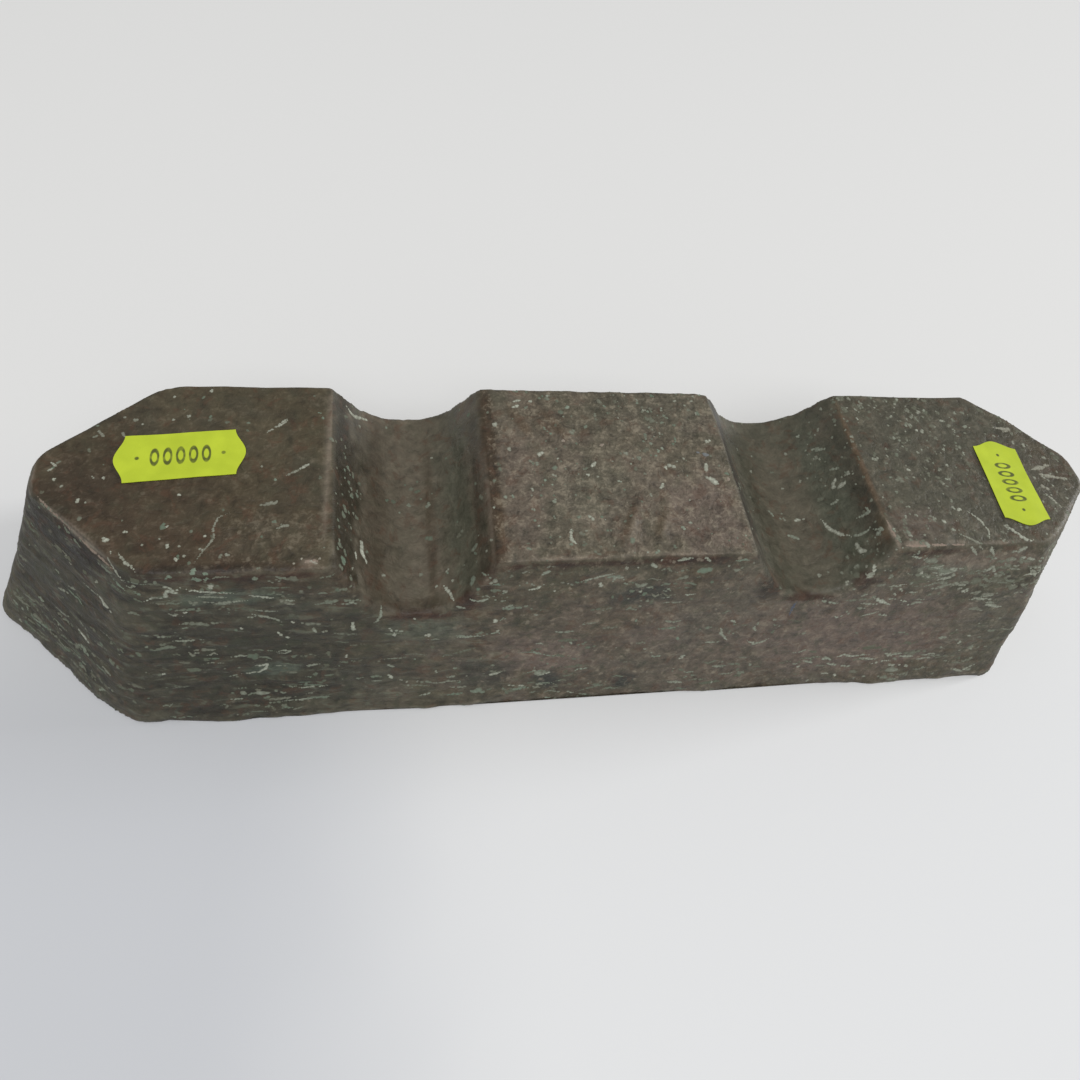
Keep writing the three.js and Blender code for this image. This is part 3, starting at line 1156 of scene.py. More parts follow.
    def tones(self, spots: np.ndarray) -> np.ndarray:
        """Works out the tone of every vertex.

        Args:
            spots: The vertices' places in millimetres.

        Returns:
            One linear colour for each.
        """
        x = spots[:, 0]
        mix = lumps(spots, 14.0, 1)
        colours = np.outer(1 - mix, Tone.OLIVE.value) + np.outer(mix, Tone.STONE.value)
        centre = ramp(np.abs(x), 34, 26) * self.marks["land"]
        colours = self.over(colours, Tone.SAND, 0.75 * centre)
        colours = self.over(colours, Tone.SAND, 0.85 * self.marks["notch"])
        left = ramp(x, -60, -66) * self.marks["land"]
        colours = self.over(colours, Tone.OLIVE, 0.85 * left)
        blotch = 0.6 * lumps(spots, 7.0, 7) + 0.4 * lumps(spots, 3.2, 8)
        colours = self.over(colours, Tone.ROSE, 0.25 * ramp(blotch, 0.5, 0.66) * ramp(x, -70, -30))
        colours = self.over(colours, Tone.SLATE, (0.4 - 0.25 * centre) * ramp(blotch, 0.5, 0.34))
        ragged = 0.4 * (lumps(spots, 4.0, 2) - 0.5) + 0.4 * (lumps(spots, 1.7, 3) - 0.5)
        for patch in self.patches:
            away = patch.distance(spots)
            where = sum(self.marks[name] for name in patch.regions.split())
            share = ramp(away + ragged * patch.softness, 1.0, 0.4) * patch.strength * np.clip(where, 0, 1)
            colours = self.over(colours, patch.tone, share)
        return colours

    @staticmethod
    def over(colours: np.ndarray, tone: Tone, share: np.ndarray) -> np.ndarray:
        """Returns colours with a tone laid over them by a share of 0 to 1 each."""
        return colours * (1 - share[:, None]) + np.outer(share, tone.value)


# ---------------------------------------------------------------------------------------
# The crust on the casting


SHOT_START = 0.2
END_SHOT_START = 0.3


class View(Enum):
    """The side from which a fleck's places are read: above as X Y, front as X Z, end as Y Z."""

    ABOVE = "above"
    FRONT = "front"
    END = "end"

    def shot(self, first: float, second: float) -> tuple[Vector, Vector]:
        """Works out a shot from this side at the casting.

        Args:
            first: The place's first distance, in millimetres.
            second: Its second distance.

        Returns:
            Where the shot starts, and its direction.
        """
        across, up = first * MM, second * MM
        if self is View.ABOVE:
            return Vector((across, up, SHOT_START)), Vector((0, 0, -1))
        if self is View.FRONT:
            return Vector((across, -SHOT_START, up)), Vector((0, 1, 0))
        return Vector((-END_SHOT_START, across, up)), Vector((1, 0, 0))


@dataclass(frozen=True)
class Fleck:
    """One fleck: its path as seen from a side, its width, and its look, in millimetres."""

    view: View
    width: float
    path: tuple[tuple[float, float], ...]
    pale: float = 0.75
    green: float = 0.0
    pink: float = 0.0
    blue: float = 0.0


def dots(view: View, *places: Place, **look: float) -> tuple[Fleck, ...]:
    """Returns rounded flecks, each place being two distances and a width."""
    return tuple(Fleck(view, width, ((u, v),), **look) for u, v, width in places)


def strokes(view: View, *paths: tuple, **look: float) -> tuple[Fleck, ...]:
    """Returns long flecks, each a width followed by the places on its path."""
    return tuple(Fleck(view, path[0], tuple(path[1:]), **look) for path in paths)


FLECKS: tuple[Fleck, ...] = (
    # bright metal where the rims are rubbed
    *strokes(
        View.ABOVE, (0.6, (-120.5, -5.8), (-116.5, -9.8), (-112.8, -13.4)),
        (0.6, (-112.0, -14.2), (-108.0, -18.0), (-104.6, -21.2)),
        (0.7, (64.4, -21.9), (67.5, -22.2), (70.5, -22.1)), (0.6, (71.6, -22.0), (75.2, -22.2)),
        (0.5, (77.0, -22.0), (80.6, -22.2)), (0.5, (63.4, -21.0), (62.8, -18.0), (62.8, -14.6)),
        (0.6, (-68.6, -22.3), (-66.4, -22.2)), pale=0.3, pink=0.7,
    ),
    # the left land
    *dots(
        View.ABOVE, (-106.4, -16, 1.1), (-103, -14.5, 0.8), (-95.5, -13.5, 0.8), (-95, -18, 0.8),
        (-92.8, -21, 0.8), (-88, -15.8, 0.8), (-88.5, -18.8, 0.8), (-113, -7, 0.8), (-109.3, -1.6, 0.7),
        (-118.3, -1.8, 0.7), (-94.2, -5.6, 0.7), (-98.6, 20.6, 0.6), (-91, 22.4, 0.8),
    ),
    *dots(
        View.ABOVE, (-96.5, -16.3, 0.6), (-92.7, -18, 0.6), (-91.5, -20.6, 0.9), (-83.5, -20, 0.8),
        (-116.7, -3.5, 0.6), (-111.3, -1.4, 0.7), (-107.8, 14.5, 0.6), (-98, 14, 0.6), (-95, 15, 0.7),
        (-78.7, 1.5, 0.6), (-104, 12.6, 0.5), (-111.5, -7.5, 0.5), (-99.5, -17.5, 0.5), pale=0.45,
    ),
    *dots(View.ABOVE, (-76, -2.2, 0.9), (-89.3, -24, 1.5), (-87.2, -24.2, 1.0), pale=0.4, green=0.7),
    *strokes(
        View.ABOVE, (0.6, (-78.2, 10.6), (-76.5, 12.2), (-74.2, 13.8)), (0.4, (-76, 12.9), (-74.4, 14.2)),
        (0.6, (-69.2, 1.8), (-70.8, 0.8)), (0.4, (-119.8, 0.3), (-119, 1.2)),
        (0.4, (-119.6, 2.2), (-118.6, 1.4)), pale=0.65,
    ),
    *strokes(
        View.ABOVE, (0.45, (-70.8, 0.5), (-73.5, -1)), (0.6, (-78, -8.5), (-75, -7.7)),
        (0.35, (-84.2, -10.3), (-86.2, -11.7), (-86.8, -13.8), (-86.5, -16.2), (-87.3, -18),
         (-88.5, -20), (-89.4, -22)), (0.5, (-74.5, -14.2), (-72.3, -13.5)), (0.5, (-112.5, 10.8), (-111, 9)),
        (0.5, (-107.5, 10), (-107, 9.2)), pale=0.35,
    ),
    *strokes(
        View.ABOVE, (0.4, (-105, -18.6), (-104.5, -21), (-102.3, -23.3)),
        (0.45, (-103.5, -19.2), (-102, -21.3), (-100.8, -22), (-100, -23.2)), pale=0.6,
    ),
    *strokes(View.ABOVE, (0.5, (-67.8, -22.2), (-66.6, -22.6)), pale=0.7, pink=0.3),
    *dots(View.ABOVE, (-69.4, -21.6, 0.5), (-65.9, -21.6, 0.5), (-70.8, -22.6, 0.4), pale=0.6, pink=0.3),
    # the left notch
    *strokes(View.ABOVE, (1.2, (-57.9, -12.6), (-57.6, -15), (-56.8, -16.6)), pale=1.0),
    *strokes(
        View.ABOVE, (0.6, (-59, -16.3), (-58.8, -17.2)), (0.6, (-40.2, -21.3), (-39.2, -23), (-38.4, -25.4)),
        (0.9, (-61.6, 22.5), (-60, 21.5), (-56.5, 23.8)),
    ),
    *dots(
        View.ABOVE, (-41.6, 13.3, 0.9), (-31, -17.5, 0.9), (-32, -19.5, 0.9), (-39.3, -17.8, 0.9),
        (-38.4, -20.5, 0.8), (-41.6, -21, 0.8), (-58.5, 20, 0.7), (-59.5, -20.5, 0.7), (-53, -18.3, 0.8),
        pale=0.5,
    ),
    *dots(
        View.ABOVE, (-38.2, 12.2, 1.1), (-61.5, -9, 1.3), (-43, -8.5, 1.6), (-62, -17, 1.4), (-61.8, -4, 1.0),
        (-62.4, -13, 0.9), pale=0.1, green=0.35,
    ),
    # the middle land
    *dots(
        View.ABOVE, (-18, 4.8, 1.5), (-27.4, 13.3, 1.5), (-8.6, -12.8, 1.3), (12.9, 0.8, 1.6),
        (11.6, 0.4, 0.9), (23.9, 8.4, 1.4), (-7.7, -1, 1.0), (-18.6, 20.3, 1.0),
    ),
    *dots(
        View.ABOVE, (-25, 6, 0.9), (-15.5, -1.5, 0.9), (-21, -5.2, 0.8), (-5.3, -2, 0.7), (-10.2, -16.2, 0.6),
        (6.3, -7, 0.9), (16.4, 3.2, 0.6), (15.3, -8.5, 0.6), (12.2, 10.8, 0.7), (18.2, 21, 0.8),
        (23, 17.3, 0.8), (9.5, 18, 0.8), (14.5, 2.2, 0.6), pale=0.5,
    ),
    *dots(View.ABOVE, (26.4, -2.7, 1.0), (-2.8, 7, 0.9), (-12, 8.5, 0.8), pale=0.5, pink=0.6),
    *dots(View.ABOVE, (-11.5, -12.3, 1.1), pale=0.2, green=0.4),
    *strokes(
        View.ABOVE, (0.7, (-6, 1.2), (-5.4, 2.1)), (0.7, (-13.5, -15.8), (-14, -18), (-13, -19.3)),
        (0.8, (9.7, -4), (9, -5)), (0.9, (21.8, 1.4), (21.3, 0.1)),
        (1.0, (21, -2.2), (22.2, -2.9), (23.3, -4)), (0.7, (-22.5, 20.4), (-21.3, 20.7)),
        (0.8, (-22.8, 18.2), (-21.8, 18.8)),
    ),
    *strokes(View.ABOVE, (0.9, (20.5, 5), (22.6, 4.2)), blue=0.7),
    # the right notch
    *strokes(
        View.ABOVE, (0.8, (47.8, -5.7), (50, -5.5)), (0.7, (53.3, -7), (54, -10), (55.3, -12.5), (57, -14.6)),
        (1.1, (57.8, 1.2), (57.2, -0.2), (58.3, -1), (59.2, -0.6)),
        (1.2, (57.2, -17), (57.2, -19), (57.8, -19.5)), (1.0, (58.4, -24), (58.6, -24.7)),
    ),
    *strokes(
        View.ABOVE, (0.7, (57, -14.6), (58.8, -15.3), (60, -14.8)), (0.7, (41.6, -2.8), (42.4, -4.1)),
        (0.8, (44.8, -9.8), (46.9, -11)), (0.8, (56.5, 12.8), (58.5, 10.6)), (0.6, (57.8, 4.6), (59, 4)),
        (0.6, (60.5, -9.5), (60.8, -11), (58.8, -11)), (0.7, (60.3, -15.5), (61.3, -16.5), (60, -17.5)),
        (0.7, (56, -4.4), (57, -4.3)), pale=0.5, green=0.25,
    ),
    *dots(
        View.ABOVE, (40.3, 9.3, 0.9), (52.2, 5.3, 1.0), (47.5, 4.2, 0.7), (51.3, 14.5, 0.9),
        (45.2, -5.2, 0.6), (48.6, -21.6, 0.9), (53.5, -25, 1.0), (37.5, 15.5, 0.8), pale=0.45,
    ),
    # the right land
    *strokes(
        View.ABOVE, (0.8, (93.8, -17.3), (95.3, -19), (97.3, -21.3), (99, -21.4)),
        (0.5, (85.3, -12.8), (87.5, -15.5), (88.3, -18.5), (87.3, -21)), pale=0.75,
    ),
    *strokes(
        View.ABOVE, (0.5, (80, -19), (83, -21), (85.5, -22.6)), (0.4, (105.5, 1.5), (108, -0.2)), pale=0.4,
    ),
    *strokes(
        View.ABOVE, (0.9, (110.2, -0.3), (113, 0.4), (115.6, 1)),
        (0.9, (111.5, -1.9), (114.5, -2.6), (117.7, -3.3)), (1.0, (110.2, -5.7), (111.3, -6.4)),
        (0.8, (109.9, -8.3), (110.8, -10.2), (111.8, -12.1)),
        (0.8, (105.3, 13.2), (107.6, 12.8), (109.3, 12.6), (107.6, 11.8)), pale=0.55, pink=0.15,
    ),
    *dots(
        View.ABOVE, (109.1, -2.9, 1.0), (118, -3.3, 1.2), (114.9, -9.4, 1.0), (115.7, 3.6, 1.0),
        (117, -1, 0.8), (108.6, 8.4, 1.1), (111.7, 7.5, 1.0), (93.7, -17.4, 1.1), (113.5, -5.4, 0.7),
        (116.5, -6.8, 0.7), pale=0.5,
    ),
    *dots(
        View.ABOVE, (83.3, -12.5, 1.3), (77.7, -15.8, 1.2), (74.8, 0, 1.0), (82, 12, 1.1), (105.9, -2.8, 0.8),
        (112, -2.7, 1.0), (66.5, 16, 0.9),
    ),
    *dots(
        View.ABOVE, (71, -13.6, 0.9), (67, -19.5, 0.8), (70.5, -22.3, 0.9), (70.5, 4, 0.7), (83.3, 17.5, 0.8),
        (81, 16, 0.7), (88, 13.5, 0.7), (93.5, 10.6, 0.7), (82.3, -4.7, 0.7), (111.2, -8.4, 0.6),
        (76, 9, 0.5), (86, 5, 0.5), (79, 20, 0.6), (91, 19, 0.5), pale=0.45,
    ),
    # the front, left to right
    *dots(
        View.FRONT, (-86.6, 46.8, 1.2), (-94.3, 37.6, 0.9), (-92, 38.4, 0.8), (-81.8, 32.8, 1.1),
        (-98.4, 18.2, 0.9), (-71.5, 34.2, 0.8), (-43.4, 28.3, 1.1), (-29, 32.4, 1.3), (-60.8, 22, 0.8),
        (-46.4, 33.7, 0.7), (-6.7, 42.6, 1.2), (-16.7, 41.3, 0.9), (71.6, 42.7, 1.2), (68.2, 37.2, 0.9),
        (18.8, 13.7, 0.9), (63, 4.2, 1.0), (51.4, 8.4, 0.9),
    ),
    *dots(
        View.FRONT, (-1.7, 47.3, 0.8), (0.8, 47.3, 0.6), (6, 49, 0.7), (27.8, 47.5, 0.6), (22, 46.8, 0.6),
        (-14.2, 43.3, 0.6), (-48.5, 11.5, 0.7), (-47.3, 10.8, 0.7), (-46.8, 9.5, 0.7), (-44.8, 10.7, 0.7),
        (-17.6, 12.2, 0.8), (-20, 33.5, 0.8), (8.3, 18.8, 0.7), (10.3, 17.2, 0.6), (-28, 28.3, 0.8),
        pale=0.45,
    ),
    *dots(
        View.FRONT, (-88.9, 48.9, 1.6), (-87, 49, 0.9), (-94, 49.5, 0.9), (15.8, 22, 1.1), (-35, 9.5, 0.7),
        pale=0.35, green=0.6,
    ),
    *strokes(
        View.FRONT,
        (0.7, (-99.2, 42.3), (-97.5, 43.2), (-95.5, 43), (-94.9, 44.8), (-94.8, 46.3), (-93.5, 45.6),
         (-92, 46.2)), (0.8, (-94.5, 45.2), (-93, 44.9)),
        (0.6, (-91, 45.9), (-89.5, 45.8), (-87.5, 45.3), (-85.5, 44.9), (-82.5, 44.6)),
        (0.6, (-79.5, 43.2), (-77.5, 42.7), (-75, 42.2)), (0.8, (-74.6, 30.6), (-73.5, 29.3), (-72.8, 29)),
        (0.6, (-80, 19.2), (-77.3, 19.3), (-78, 17.8), (-79.5, 16.9), (-83, 16.4)),
        (0.9, (-59.3, 33), (-59.2, 31.8)), (0.8, (-51.8, 31), (-50.9, 29.5), (-50.6, 28.2)),
        (0.7, (-51.2, 13.7), (-50.6, 12.9)), (0.6, (-22.5, 42.2), (-21, 42.3), (-19.5, 43.3)),
        (0.9, (62.3, 34.8), (65, 33.2), (67.3, 32.3)), pale=0.75, green=0.12,
    ),
    *strokes(
        View.FRONT, (0.5, (-89.5, 43.2), (-87, 43.2), (-84, 42.9)),
        (0.5, (-88, 41.5), (-85, 41.2), (-80, 41.7)), (0.5, (-86, 40.8), (-83.5, 40.8)),
        (0.4, (-72.5, 41.6), (-71, 41.4)), (0.5, (-78.5, 38.5), (-76, 38), (-74.5, 38)),
        (0.6, (-79.3, 37.2), (-77, 36.3), (-75, 35.4), (-73.7, 34.2)), (0.7, (-97.8, 30.8), (-97, 30.6)),
        (0.5, (-95.5, 29), (-92, 29), (-89.5, 29.2)), (0.5, (-67.3, 31.5), (-67, 30.8)),
        (0.4, (-75.2, 24.2), (-73.8, 24.5), (-72.5, 24.1), (-73.5, 23.6), (-75, 23.8)),
        (0.5, (-84.5, 22.9), (-82.8, 23.1), (-81, 22.9)), (0.6, (-75.5, 18.8), (-74, 18.8)),
        (0.5, (-69, 18.5), (-66.5, 19)), (0.6, (-85.5, 7.7), (-83.5, 7.8)), (0.5, (-71, 10.5), (-65, 10.8)),
        (0.4, (-74.8, 5.8), (-71, 5.6), (-67.5, 5.9)), pale=0.45, green=0.2,
    ),
    *strokes(
        View.FRONT, (0.5, (-54.2, 38.5), (-53.6, 37.5), (-53.7, 35.5), (-54.2, 34), (-54.8, 33.2)),
        (0.6, (-36.8, 26.8), (-35, 26.6), (-33, 26.8), (-31, 27)), (0.7, (-50, 30.2), (-49.2, 30)),
        (0.6, (-35.2, 39.9), (-33.5, 39.2), (-31.5, 39.6), (-31, 40.2)), (0.7, (-37.5, 37.5), (-36.3, 36.8)),
        (0.6, (-27.5, 36.6), (-25.8, 37.2)), (0.7, (-51.5, 17.5), (-50.6, 16.9)), (0.4, (-55, 12), (-53, 12)),
        (0.4, (-44, 5.5), (-41, 6)), (0.7, (-20.2, 46.5), (-19, 47.3)), pale=0.5, green=0.25,
    ),
    *strokes(
        View.FRONT, (0.5, (-11.2, 43.8), (-9, 44.6), (-6.5, 45.2), (-4.3, 46)),
        (0.7, (-4.2, 43.6), (-3.6, 44.5), (-2.3, 44.4), (-1.9, 43.7)), (0.8, (3.9, 48), (5, 47.3)),
        (0.7, (9.3, 48.8), (11, 49.2), (12.8, 49.6)), (0.6, (15.8, 49.6), (17, 48.6)),
        (0.7, (25.8, 25.2), (26.7, 23), (28, 21.5), (28.6, 20.7)), (0.7, (34.2, 25.6), (34.9, 24.2)),
        (0.6, (34.2, 19.8), (36.2, 19), (38, 19.6), (39.5, 20.7)), (0.8, (17.5, 4.8), (21, 4.5)),
        (0.6, (28, 28), (28.8, 27.5)), pale=0.55, green=0.15,
    ),
    *strokes(
        View.FRONT, (0.7, (73.7, 44.3), (76.5, 44.3)), (0.6, (74.5, 42.8), (78, 42.6), (80, 43.2)),
        (0.6, (79, 44), (82, 44)), (0.8, (88.5, 43.2), (89.5, 43.5)), (0.6, (91.5, 34.5), (94.5, 34.9)),
        (0.5, (94, 32), (96, 32)), (0.9, (56.8, 30.3), (57.3, 29.5)), (0.6, (59.3, 31.5), (61, 31.3)),
        (0.5, (61.5, 28), (64, 28.8), (65.5, 29.3)), (0.6, (62, 12.5), (66, 11.8), (70, 12)),
        (0.8, (76.5, 12), (79, 12.3)), (0.7, (52, 11), (54.5, 10)), (0.9, (59.5, 9), (61.5, 8.5)),
        (0.8, (64, 8), (66.5, 7.8)), (0.8, (87.5, 18), (90, 18)), pale=0.5, green=0.15,
    ),
    *strokes(
        View.FRONT, (0.8, (72.4, 41.7), (75.3, 41.3)), (0.7, (74, 43.9), (76.3, 45)),
        (0.8, (76.2, 42), (79.9, 43.2)), (0.7, (77, 40.6), (80.5, 41.4)), (0.8, (82.2, 39.1), (85.3, 38.3)),
        (0.7, (82.3, 49.7), (84.1, 47.9)), (0.8, (88.6, 42.7), (90.4, 44.1), (92.2, 41.7)),
        (0.7, (89, 33), (90.7, 33.7), (96.3, 32.8)), (0.9, (94.3, 31.3), (98.8, 30.2)),
        (0.7, (87.6, 49.6), (89.3, 47.2)), (0.8, (94.7, 48.5), (97.3, 49.4)), (0.9, (79.2, 11.2), (83, 10.7)),
        (0.9, (68.1, 10.6), (72.2, 10.2)), (0.9, (97.3, 4.6), (100.3, 3.9), (103.2, 6.1)), pale=0.55,
        green=0.08,
    ),
    *dots(View.FRONT, (67.3, 35.7, 1.0), (94.3, 15.8, 1.1), (99.2, 13.1, 1.2), pale=0.6, green=0.1),
    *dots(
        View.FRONT, (90, 14, 0.9), (93, 17, 0.8), (96, 12.5, 0.9), (99, 18, 0.8), (101, 9, 0.9), (94, 8, 0.8),
        (88, 6, 0.8), (98, 4.5, 0.8), (103, 14, 0.8), (86, 11, 0.8), (91, 21, 0.7), (96, 24, 0.8),
        (101, 26, 0.8), (84, 3.5, 0.8), (92, 3, 0.8), pale=0.35, green=0.1,
    ),
    *strokes(View.FRONT, (0.5, (41.9, 34.6), (41.7, 32), (41.8, 29.8)), blue=0.95),
    # the front left end
    *strokes(
        View.END, (0.8, (-20.3, 36.3), (-21.7, 35.3), (-23.3, 34.8)), (0.8, (-18.9, 19), (-21.2, 18)),
        pale=0.8,
    ),
    *strokes(
        View.END, (0.4, (-17.3, 36.2), (-20.2, 36.2)), (0.6, (-15.2, 31), (-16.3, 31.8)),
        (0.5, (-19, 23), (-20.5, 21.5)), (0.7, (-13.5, 19.5), (-16.5, 20.5)),
        (0.6, (-13.4, 27.5), (-15, 28.2)), (0.6, (-25.2, 14), (-27, 13.5)), (0.7, (-27.5, 8), (-28, 7.6)),
        pale=0.4, green=0.15,
    ),
    *dots(
        View.END, (-14.3, 38.8, 0.8), (-13.3, 40, 0.7), (-19.3, 40, 0.8), (-15, 14.5, 0.8), (-7.5, 3, 0.9),
        (-6, 38.5, 0.8), pale=0.45,
    ),
)


@dataclass
class Crust:
    """The flecks of verdigris: those listed one by one, and a seeded scatter of small ones.

    Attributes:
        casting: What they grow on.
        marks: Its regions, as a weight for every vertex.
        streak_count: How many level streaks are scattered.
        dot_count: How many dots are scattered.
        sides: How many corners the rim of a mound has.
        spread_out: How much wider a placed streak is made.
        halo: How much wider any placed fleck is made, in millimetres.
        placed_gaps: The share of a placed streak's mounds that are missing.
        streak_gaps: The same for a scattered streak.
        least_level: How steep the skin has to be for a streak to lie level.
        dip: How far a mound's rim lies under the skin, in millimetres.
        lift: How far its peak stands out at least.
        rise: How much further it stands out for its radius.
        rise_limit: The limit of that.
        rim_shares: How much of its pale, green, pink and blue reaches its rim.
        seed: Which scatter.
    """

    casting: bpy.types.Object
    marks: dict[str, np.ndarray]
    streak_count: int = 1150
    dot_count: int = 1700
    sides: int = 7
    spread_out: float = 1.35
    halo: float = 0.15
    placed_gaps: float = 0.08
    streak_gaps: float = 0.22
    least_level: float = 0.3
    dip: float = 0.015
    lift: float = 0.05 * MM
    rise: float = 0.2
    rise_limit: float = 0.12 * MM
    rim_shares: tuple[float, ...] = (0.28, 0.3, 0.5, 0.6)
    seed: int = 5
    points: list[Vector] = field(default_factory=list)
    faces: list[tuple[int, ...]] = field(default_factory=list)
    looks: list[tuple[float, ...]] = field(default_factory=list)

    def build(self) -> bpy.types.Object:
        """Models every fleck on the casting.

        Returns:
            One object with all of them.
        """
        self.random = np.random.default_rng(self.seed)
        self.tree = BVHTree.FromObject(self.casting, bpy.context.evaluated_depsgraph_get())
        for fleck in FLECKS:
            self.lay(fleck)
        self.scatter()
        mesh = bpy.data.meshes.new("verdigris_crust")
        mesh.from_pydata(self.points, [], self.faces)
        piece = bpy.data.objects.new("verdigris_crust", mesh)
        bpy.context.collection.objects.link(piece)
        looks = np.array(self.looks)
        for place, name in enumerate(("pale", "green", "pink", "blue")):
            store(piece, name, looks[:, place])
        mesh.materials.append(Verdigris().material())
        make_active(piece)
        bpy.ops.object.shade_smooth()
        return piece

    def lay(self, fleck: Fleck) -> None:
        """Adds one placed fleck, where the shots along its path hit the casting.

        Args:
            fleck: The fleck.
        """
        shots = (self.tree.ray_cast(*fleck.view.shot(*place))[0] for place in fleck.path)
        path = [hit for hit in shots if hit]
        look = (fleck.pale, fleck.green, fleck.pink, fleck.blue)
        if len(path) > 1:
            self.grow(path, (fleck.width * self.spread_out + self.halo) * MM, look, self.placed_gaps)
        elif path:
            self.blot(path[0], (fleck.width + self.halo) * MM, look)

    def scatter(self) -> None:
        """Grows the small flecks, thick in some places and thin in others."""
        spots = vertex_places(self.casting)
        normals = vertex_normals(self.casting)
        x, y, z = spots.T / MM
        cloud = lumps(spots / MM, 13.0, 21) * 0.6 + lumps(spots / MM, 5.0, 22) * 0.4
        thick = ramp(cloud, 0.42, 0.62)
        right_end = ramp(x, 62, 80) * ramp(x, 128, 108)
        left_rows = ramp(np.abs(z - 42), 8, 2) * ramp(x, -110, -100)
        foot_rows = ramp(np.abs(z - 9), 8, 2)
        side = self.marks["side"] * (0.22 + thick) * (0.8 + 0.2 * ramp(x, 0, -60) + 0.7 * right_end)
        side = side * (0.5 + left_rows + 0.7 * foot_rows)
        self.sow(spots, normals, side, self.streak_count, True)
        land = self.marks["land"] * (0.1 + 0.4 * ramp(x, 50, 70) + 0.2 * ramp(np.abs(x), 30, 24)
                                     + 0.4 * ramp(y, 8, 18) * ramp(x, -30, 0))
        notch = self.marks["notch"] * (0.1 + 0.45 * ramp(x, 50, 57) + 0.8 * ramp(np.abs(x + 61.5), 4, 1))
        self.sow(spots, normals, (land + notch) * (0.2 + thick) + side * 0.14, self.dot_count, False)

    def sow(self, spots: np.ndarray, normals: np.ndarray, share: np.ndarray, count: int, long: bool) -> None:
        """Grows a number of random flecks.

        Args:
            spots: The vertices' places.
            normals: The vertices' normals.
            share: How likely a fleck is at each vertex.
            count: How many flecks.
            long: Whether they are streaks that lie level, or dots.
        """
        for index in self.random.choice(len(spots), size=count, p=share / share.sum()):
            middle, normal = Vector(spots[index]), Vector(normals[index])
            level = normal.cross(Vector((0, 0, 1)))
            if not long or level.length < self.least_level:
                level = normal.cross(Vector(self.random.normal(size=3)))
            level.normalize()
            x = float(spots[index, 0])
            look = self.random_look(x, 0.9 if long else 0.75)
            if long:
                self.streak(middle, normal, level, 1 + 0.3 * float(ramp(x, 40 * MM, 80 * MM)), look)
            else:
                self.blot(middle, (float(self.random.gamma(3.0, 0.18)) + 0.35) * MM, look)

    def random_look(self, x: float, share: float) -> tuple[float, ...]:
        """Draws how one scattered fleck looks.

        Args:
            x: Where it lies along the casting. Those on the left are duller, and those on the
                right less green.
            share: How pale its kind is.

        Returns:
            How pale, green, pink and blue it is.
        """
        pale = float(np.clip(self.random.beta(1.3, 3.4) + 0.05, 0, 0.75))
        pale *= share * (1 - 0.42 * float(ramp(x, -20 * MM, -60 * MM)))
        green = float(self.random.beta(1.3, 2.9)) * (0.8 - 0.5 * float(ramp(x, 20 * MM, 60 * MM)))
        return pale, green, 0.0, 0.0

    def streak(self, middle: Vector, normal: Vector, level: Vector, widening: float,
               look: tuple[float, ...]) -> None:
        """Grows one scattered streak along a slightly bent path.

        Args:
            middle: Its middle.
            normal: The casting's normal there.
            level: Which way it runs.
            widening: How much wider than usual it is.
            look: How pale, green, pink and blue it is.
        """
        length = float(self.random.gamma(1.8, 1.1)) + 0.8
        width = (float(self.random.gamma(3.0, 0.15)) + 0.45) * widening
        tilt = float(self.random.normal(0, 0.12))
        path = []
        for step in np.linspace(-0.5, 0.5, 4):
            sway = (float(self.random.normal(0, 0.2)) + tilt * step * length) * MM
            path.append(middle + level * (step * length * MM) + normal.cross(level) * sway)
        self.grow(path, width * MM, look, self.streak_gaps)

    def blot(self, spot: Vector, width: float, look: tuple[float, ...]) -> None:
        """Adds one rounded fleck: a mound, or a few that overlap where it is wide.

        Args:
            spot: A place near the casting.
            width: How wide it is.
            look: How pale, green, pink and blue it is.
        """
        count, apart, radius = 1, 0.0, width / 2
        if width >= 0.85 * MM:
            count, apart, radius = int(self.random.integers(2, 5)), 0.3 * width, 0.36 * width
        for _ in range(count):
            away = Vector(self.random.normal(size=3)).normalized() * apart
            ahead = Vector(self.random.normal(size=3))
            self.mound(spot + away, ahead, radius * float(self.random.uniform(0.8, 1.15)), 1.05, look)

    def grow(self, path: Sequence[Vector], width: float, look: tuple[float, ...], gaps: float) -> None:
        """Adds one fleck: a row of small ragged mounds that run into each other.

        Args:
            path: Places near the casting.
            width: The fleck's greatest width.
            look: How pale, green, pink and blue it is.
            gaps: The share of the mounds that are missing.
        """
        stations = self.resample(path, max(0.3 * MM, width * 0.6))
        count = len(stations)
        for place, spot in enumerate(stations):
            if count > 3 and self.random.random() < gaps:
                continue
            ahead = stations[min(place + 1, count - 1)] - stations[max(place - 1, 0)]
            taper = math.sin(math.pi * (place + 0.8) / (count + 0.6)) ** 0.6 if count > 2 else 0.85
            radius = width / 2 * taper * float(self.random.uniform(0.75, 1.2))
            jitter = Vector(self.random.normal(0, 0.07, size=3)) * width
            self.mound(spot + jitter, ahead, radius, 1.3 if count > 2 else 1.0, look)

